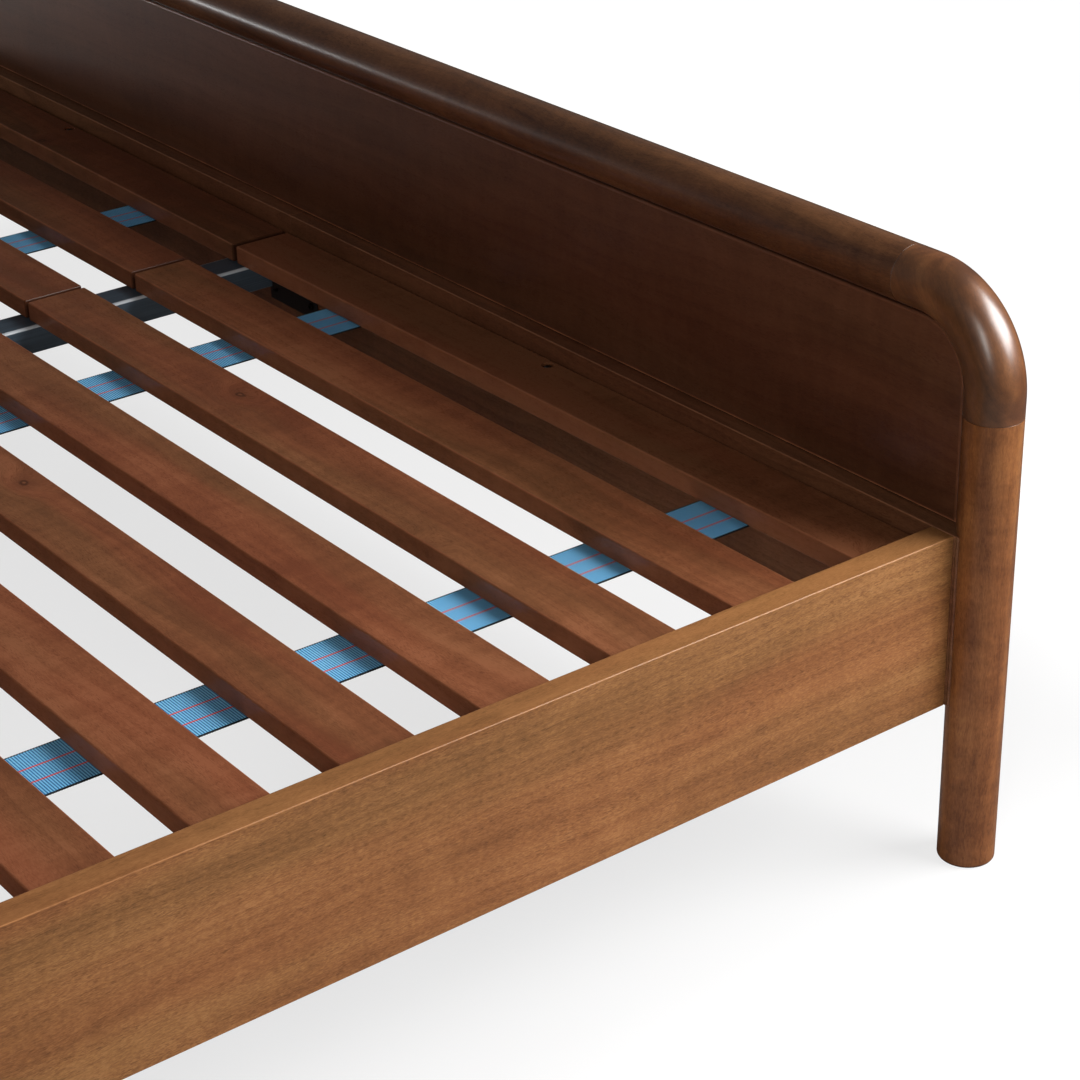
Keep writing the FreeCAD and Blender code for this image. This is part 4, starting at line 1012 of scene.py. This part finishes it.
KEPT_NODES = {
    "centre_beam": BEAM_STEEL, "beam_hangers": DARK_STEEL, "corner_brackets": BLACK_STEEL,
    "centre_leg_foot": BLACK_STEEL, "centre_leg_middle": BLACK_STEEL, "centre_leg_head": BLACK_STEEL,
    "levelling_glide_foot": GLIDE_STEEL, "levelling_glide_middle": GLIDE_STEEL,
    "levelling_glide_head": GLIDE_STEEL, "leg_plugs": PLASTIC,
    "wood_screws": DARK_SCREW, "leg_screws": ZINC, "bracket_bolts": ZINC, "rail_inserts": ZINC,
    "strap_staples": ZINC, "frame_dowels": DOWEL_TIMBER, "slat_ledger_left": HIDDEN_TIMBER,
    "slat_ledger_right": HIDDEN_TIMBER, "foot_slat_cleat": HIDDEN_TIMBER, "head_slat_cleat": HIDDEN_TIMBER,
}


# ---------------------------------------------------------------------------------------------
# Camera, floor and light.

def direction(azimuth, elevation):
    """A unit vector from an angle about Z and an angle above the floor, in degrees."""
    azimuth = math.radians(azimuth)
    elevation = math.radians(elevation)
    flat = math.cos(elevation)
    return Vector((flat * math.cos(azimuth), flat * math.sin(azimuth), math.sin(elevation)))


def make_camera():
    """A long lens beside the bed and above its left rail, looking down at the left foot corner."""
    heading = -37.05
    pitch = -27.02
    roll = math.radians(-1.20)
    lens = 87.66
    forward = direction(heading, pitch)
    level = direction(heading - 90, 0)
    upright = level.cross(forward)
    right = level * math.cos(roll) + upright * math.sin(roll)
    up = right.cross(forward)
    data = bpy.data.cameras.new("camera")
    data.lens = lens
    data.sensor_width = 36
    data.clip_start = 0.05
    data.clip_end = 60
    item = bpy.data.objects.new("camera", data)
    bpy.context.scene.collection.objects.link(item)
    place = Vector((-INNER_X - 1.3464, FOOT_FACE + 1.4211, RAIL_TOP + 0.9790))
    axes = Matrix((right, up, -forward)).transposed().to_4x4()
    item.matrix_world = Matrix.Translation(place) @ axes
    bpy.context.scene.camera = item


def area_light(name, place, target, width, height, power, color=(1, 1, 1), spread=180):
    """A rectangular lamp that faces a target."""
    data = bpy.data.lights.new(name, "AREA")
    data.spread = math.radians(spread)
    data.shape = "RECTANGLE"
    data.size = width
    data.size_y = height
    data.energy = power
    data.color = color
    item = bpy.data.objects.new(name, data)
    bpy.context.scene.collection.objects.link(item)
    item.location = place
    item.rotation_euler = (Vector(target) - Vector(place)).to_track_quat("-Z", "Y").to_euler()


def diffuse(nodes, level):
    """A matt grey surface."""
    node = nodes.tree.nodes.new("ShaderNodeBsdfDiffuse")
    node.inputs["Color"].default_value = (level, level, level, 1)
    return node.outputs[0]


def choose(nodes, factor, otherwise, chosen):
    """One surface where the factor is 0, and another where it is 1."""
    node = nodes.tree.nodes.new("ShaderNodeMixShader")
    for socket, source in zip(node.inputs, (factor, otherwise, chosen)):
        nodes.link(source, socket)
    return node.outputs[0]


def floor_material():
    """Pale paper. Seen directly it glows, less under the bed and near it than further away, which paints
    the bed's shade on the floor.
    """
    nodes = Nodes("floor_paper")
    tree = nodes.tree
    tree.nodes.remove(nodes.shader)
    tint = nodes.remap(nodes.noise(nodes.coordinates(), 3.0, 3.0, 0.5), 0.3, 0.7, 0.99, 1.0)
    glow = tree.nodes.new("ShaderNodeEmission")
    x, y, _ = nodes.split(nodes.coordinates())
    beside = nodes.math("SUBTRACT", nodes.math("ABSOLUTE", x), OUTER_X)
    beyond = nodes.math("SUBTRACT", nodes.math("ABSOLUTE", y), HEAD_FACE + 0.32)
    away = nodes.math("MAXIMUM", beside, beyond)
    # painted shade: the glow is dimmer under the bed and near it
    glow_with_painted_shade = nodes.remap(away, -0.1, 0.30, 0.735, 1.0)
    nodes.link(nodes.math("MULTIPLY", tint, glow_with_painted_shade), glow.inputs["Strength"])
    seen = tree.nodes.new("ShaderNodeAddShader")
    nodes.link(diffuse(nodes, 0.20), seen.inputs[0])
    nodes.link(glow.outputs[0], seen.inputs[1])
    # in reflections the floor is dim, and it lights the bed as paper does
    path = tree.nodes.new("ShaderNodeLightPath").outputs
    unseen = choose(nodes, path["Is Glossy Ray"], diffuse(nodes, 0.80), diffuse(nodes, 0.12))
    surface = choose(nodes, path["Is Camera Ray"], unseen, seen.outputs[0])
    # from below the floor is open, so the underside can be looked at
    underneath = tree.nodes.new("ShaderNodeNewGeometry").outputs["Backfacing"]
    clear = tree.nodes.new("ShaderNodeBsdfTransparent").outputs[0]
    nodes.link(choose(nodes, underneath, surface, clear), nodes.output.inputs["Surface"])
    return nodes.material


def make_world():
    """A surround that the camera sees as white, and that lights the bed only a little."""
    world = bpy.data.worlds.new("studio")
    world.use_nodes = True
    tree = world.node_tree
    dim = tree.nodes["Background"]
    dim.inputs["Color"].default_value = (1, 1, 1, 1)
    dim.inputs["Strength"].default_value = 0.08
    bright = tree.nodes.new("ShaderNodeBackground")
    bright.inputs["Color"].default_value = (1, 1, 1, 1)
    path = tree.nodes.new("ShaderNodeLightPath")
    mixed = tree.nodes.new("ShaderNodeMixShader")
    tree.links.new(path.outputs["Is Camera Ray"], mixed.inputs[0])
    tree.links.new(dim.outputs[0], mixed.inputs[1])
    tree.links.new(bright.outputs[0], mixed.inputs[2])
    tree.links.new(mixed.outputs[0], tree.nodes["World Output"].inputs["Surface"])
    bpy.context.scene.world = world


def make_lights():
    """A soft key lamp and a strip lamp by the foot corner, and two low lamps for the other sides."""
    foot_corner = Vector((low("foot_corner_left").x + POST_RADIUS, FOOT_FACE - POST_RADIUS,
                          high("foot_corner_left").z))
    key_place = foot_corner + 1.7 * direction(-138, 36)
    key_target = foot_corner + Vector((0, 0.25, -0.1))
    area_light("key", key_place, key_target, 1.4, 1.2, 27.5, spread=110)
    strip_place = foot_corner + 3.2 * direction(126, 25)
    area_light("strip", strip_place, foot_corner, 0.32, 1.4, 18, color=(1, 0.97, 0.92))
    # the headboard and the rails keep most of this light from the foot corner
    area_light("back_fill", (0.9, HEAD_FACE + 2.4, 0.5), (0.2, HEAD_FACE, 0.5), 2.4, 0.9, 55)
    area_light("side_fill", (OUTER_X + 2.2, 0, 0.15), (OUTER_X, 0, 0.2), 2.4, 0.2, 16)


def make_stage():
    """A plain pale floor, a white surround and studio light."""
    size = 30
    corners = [(-size, -size, 0), (size, -size, 0), (size, size, 0), (-size, size, 0)]
    mesh = bpy.data.meshes.new("floor")
    mesh.from_pydata(corners, [], [(0, 1, 2, 3)])
    mesh.materials.append(floor_material())
    floor = bpy.data.objects.new("floor", mesh)
    bpy.context.scene.collection.objects.link(floor)
    make_world()
    make_lights()
    bpy.context.scene.view_settings.view_transform = "Standard"
    bpy.context.scene.view_settings.look = "None"


make_camera()
make_stage()
build_pieces()
for node, material in KEPT_NODES.items():
    dress(node, material)
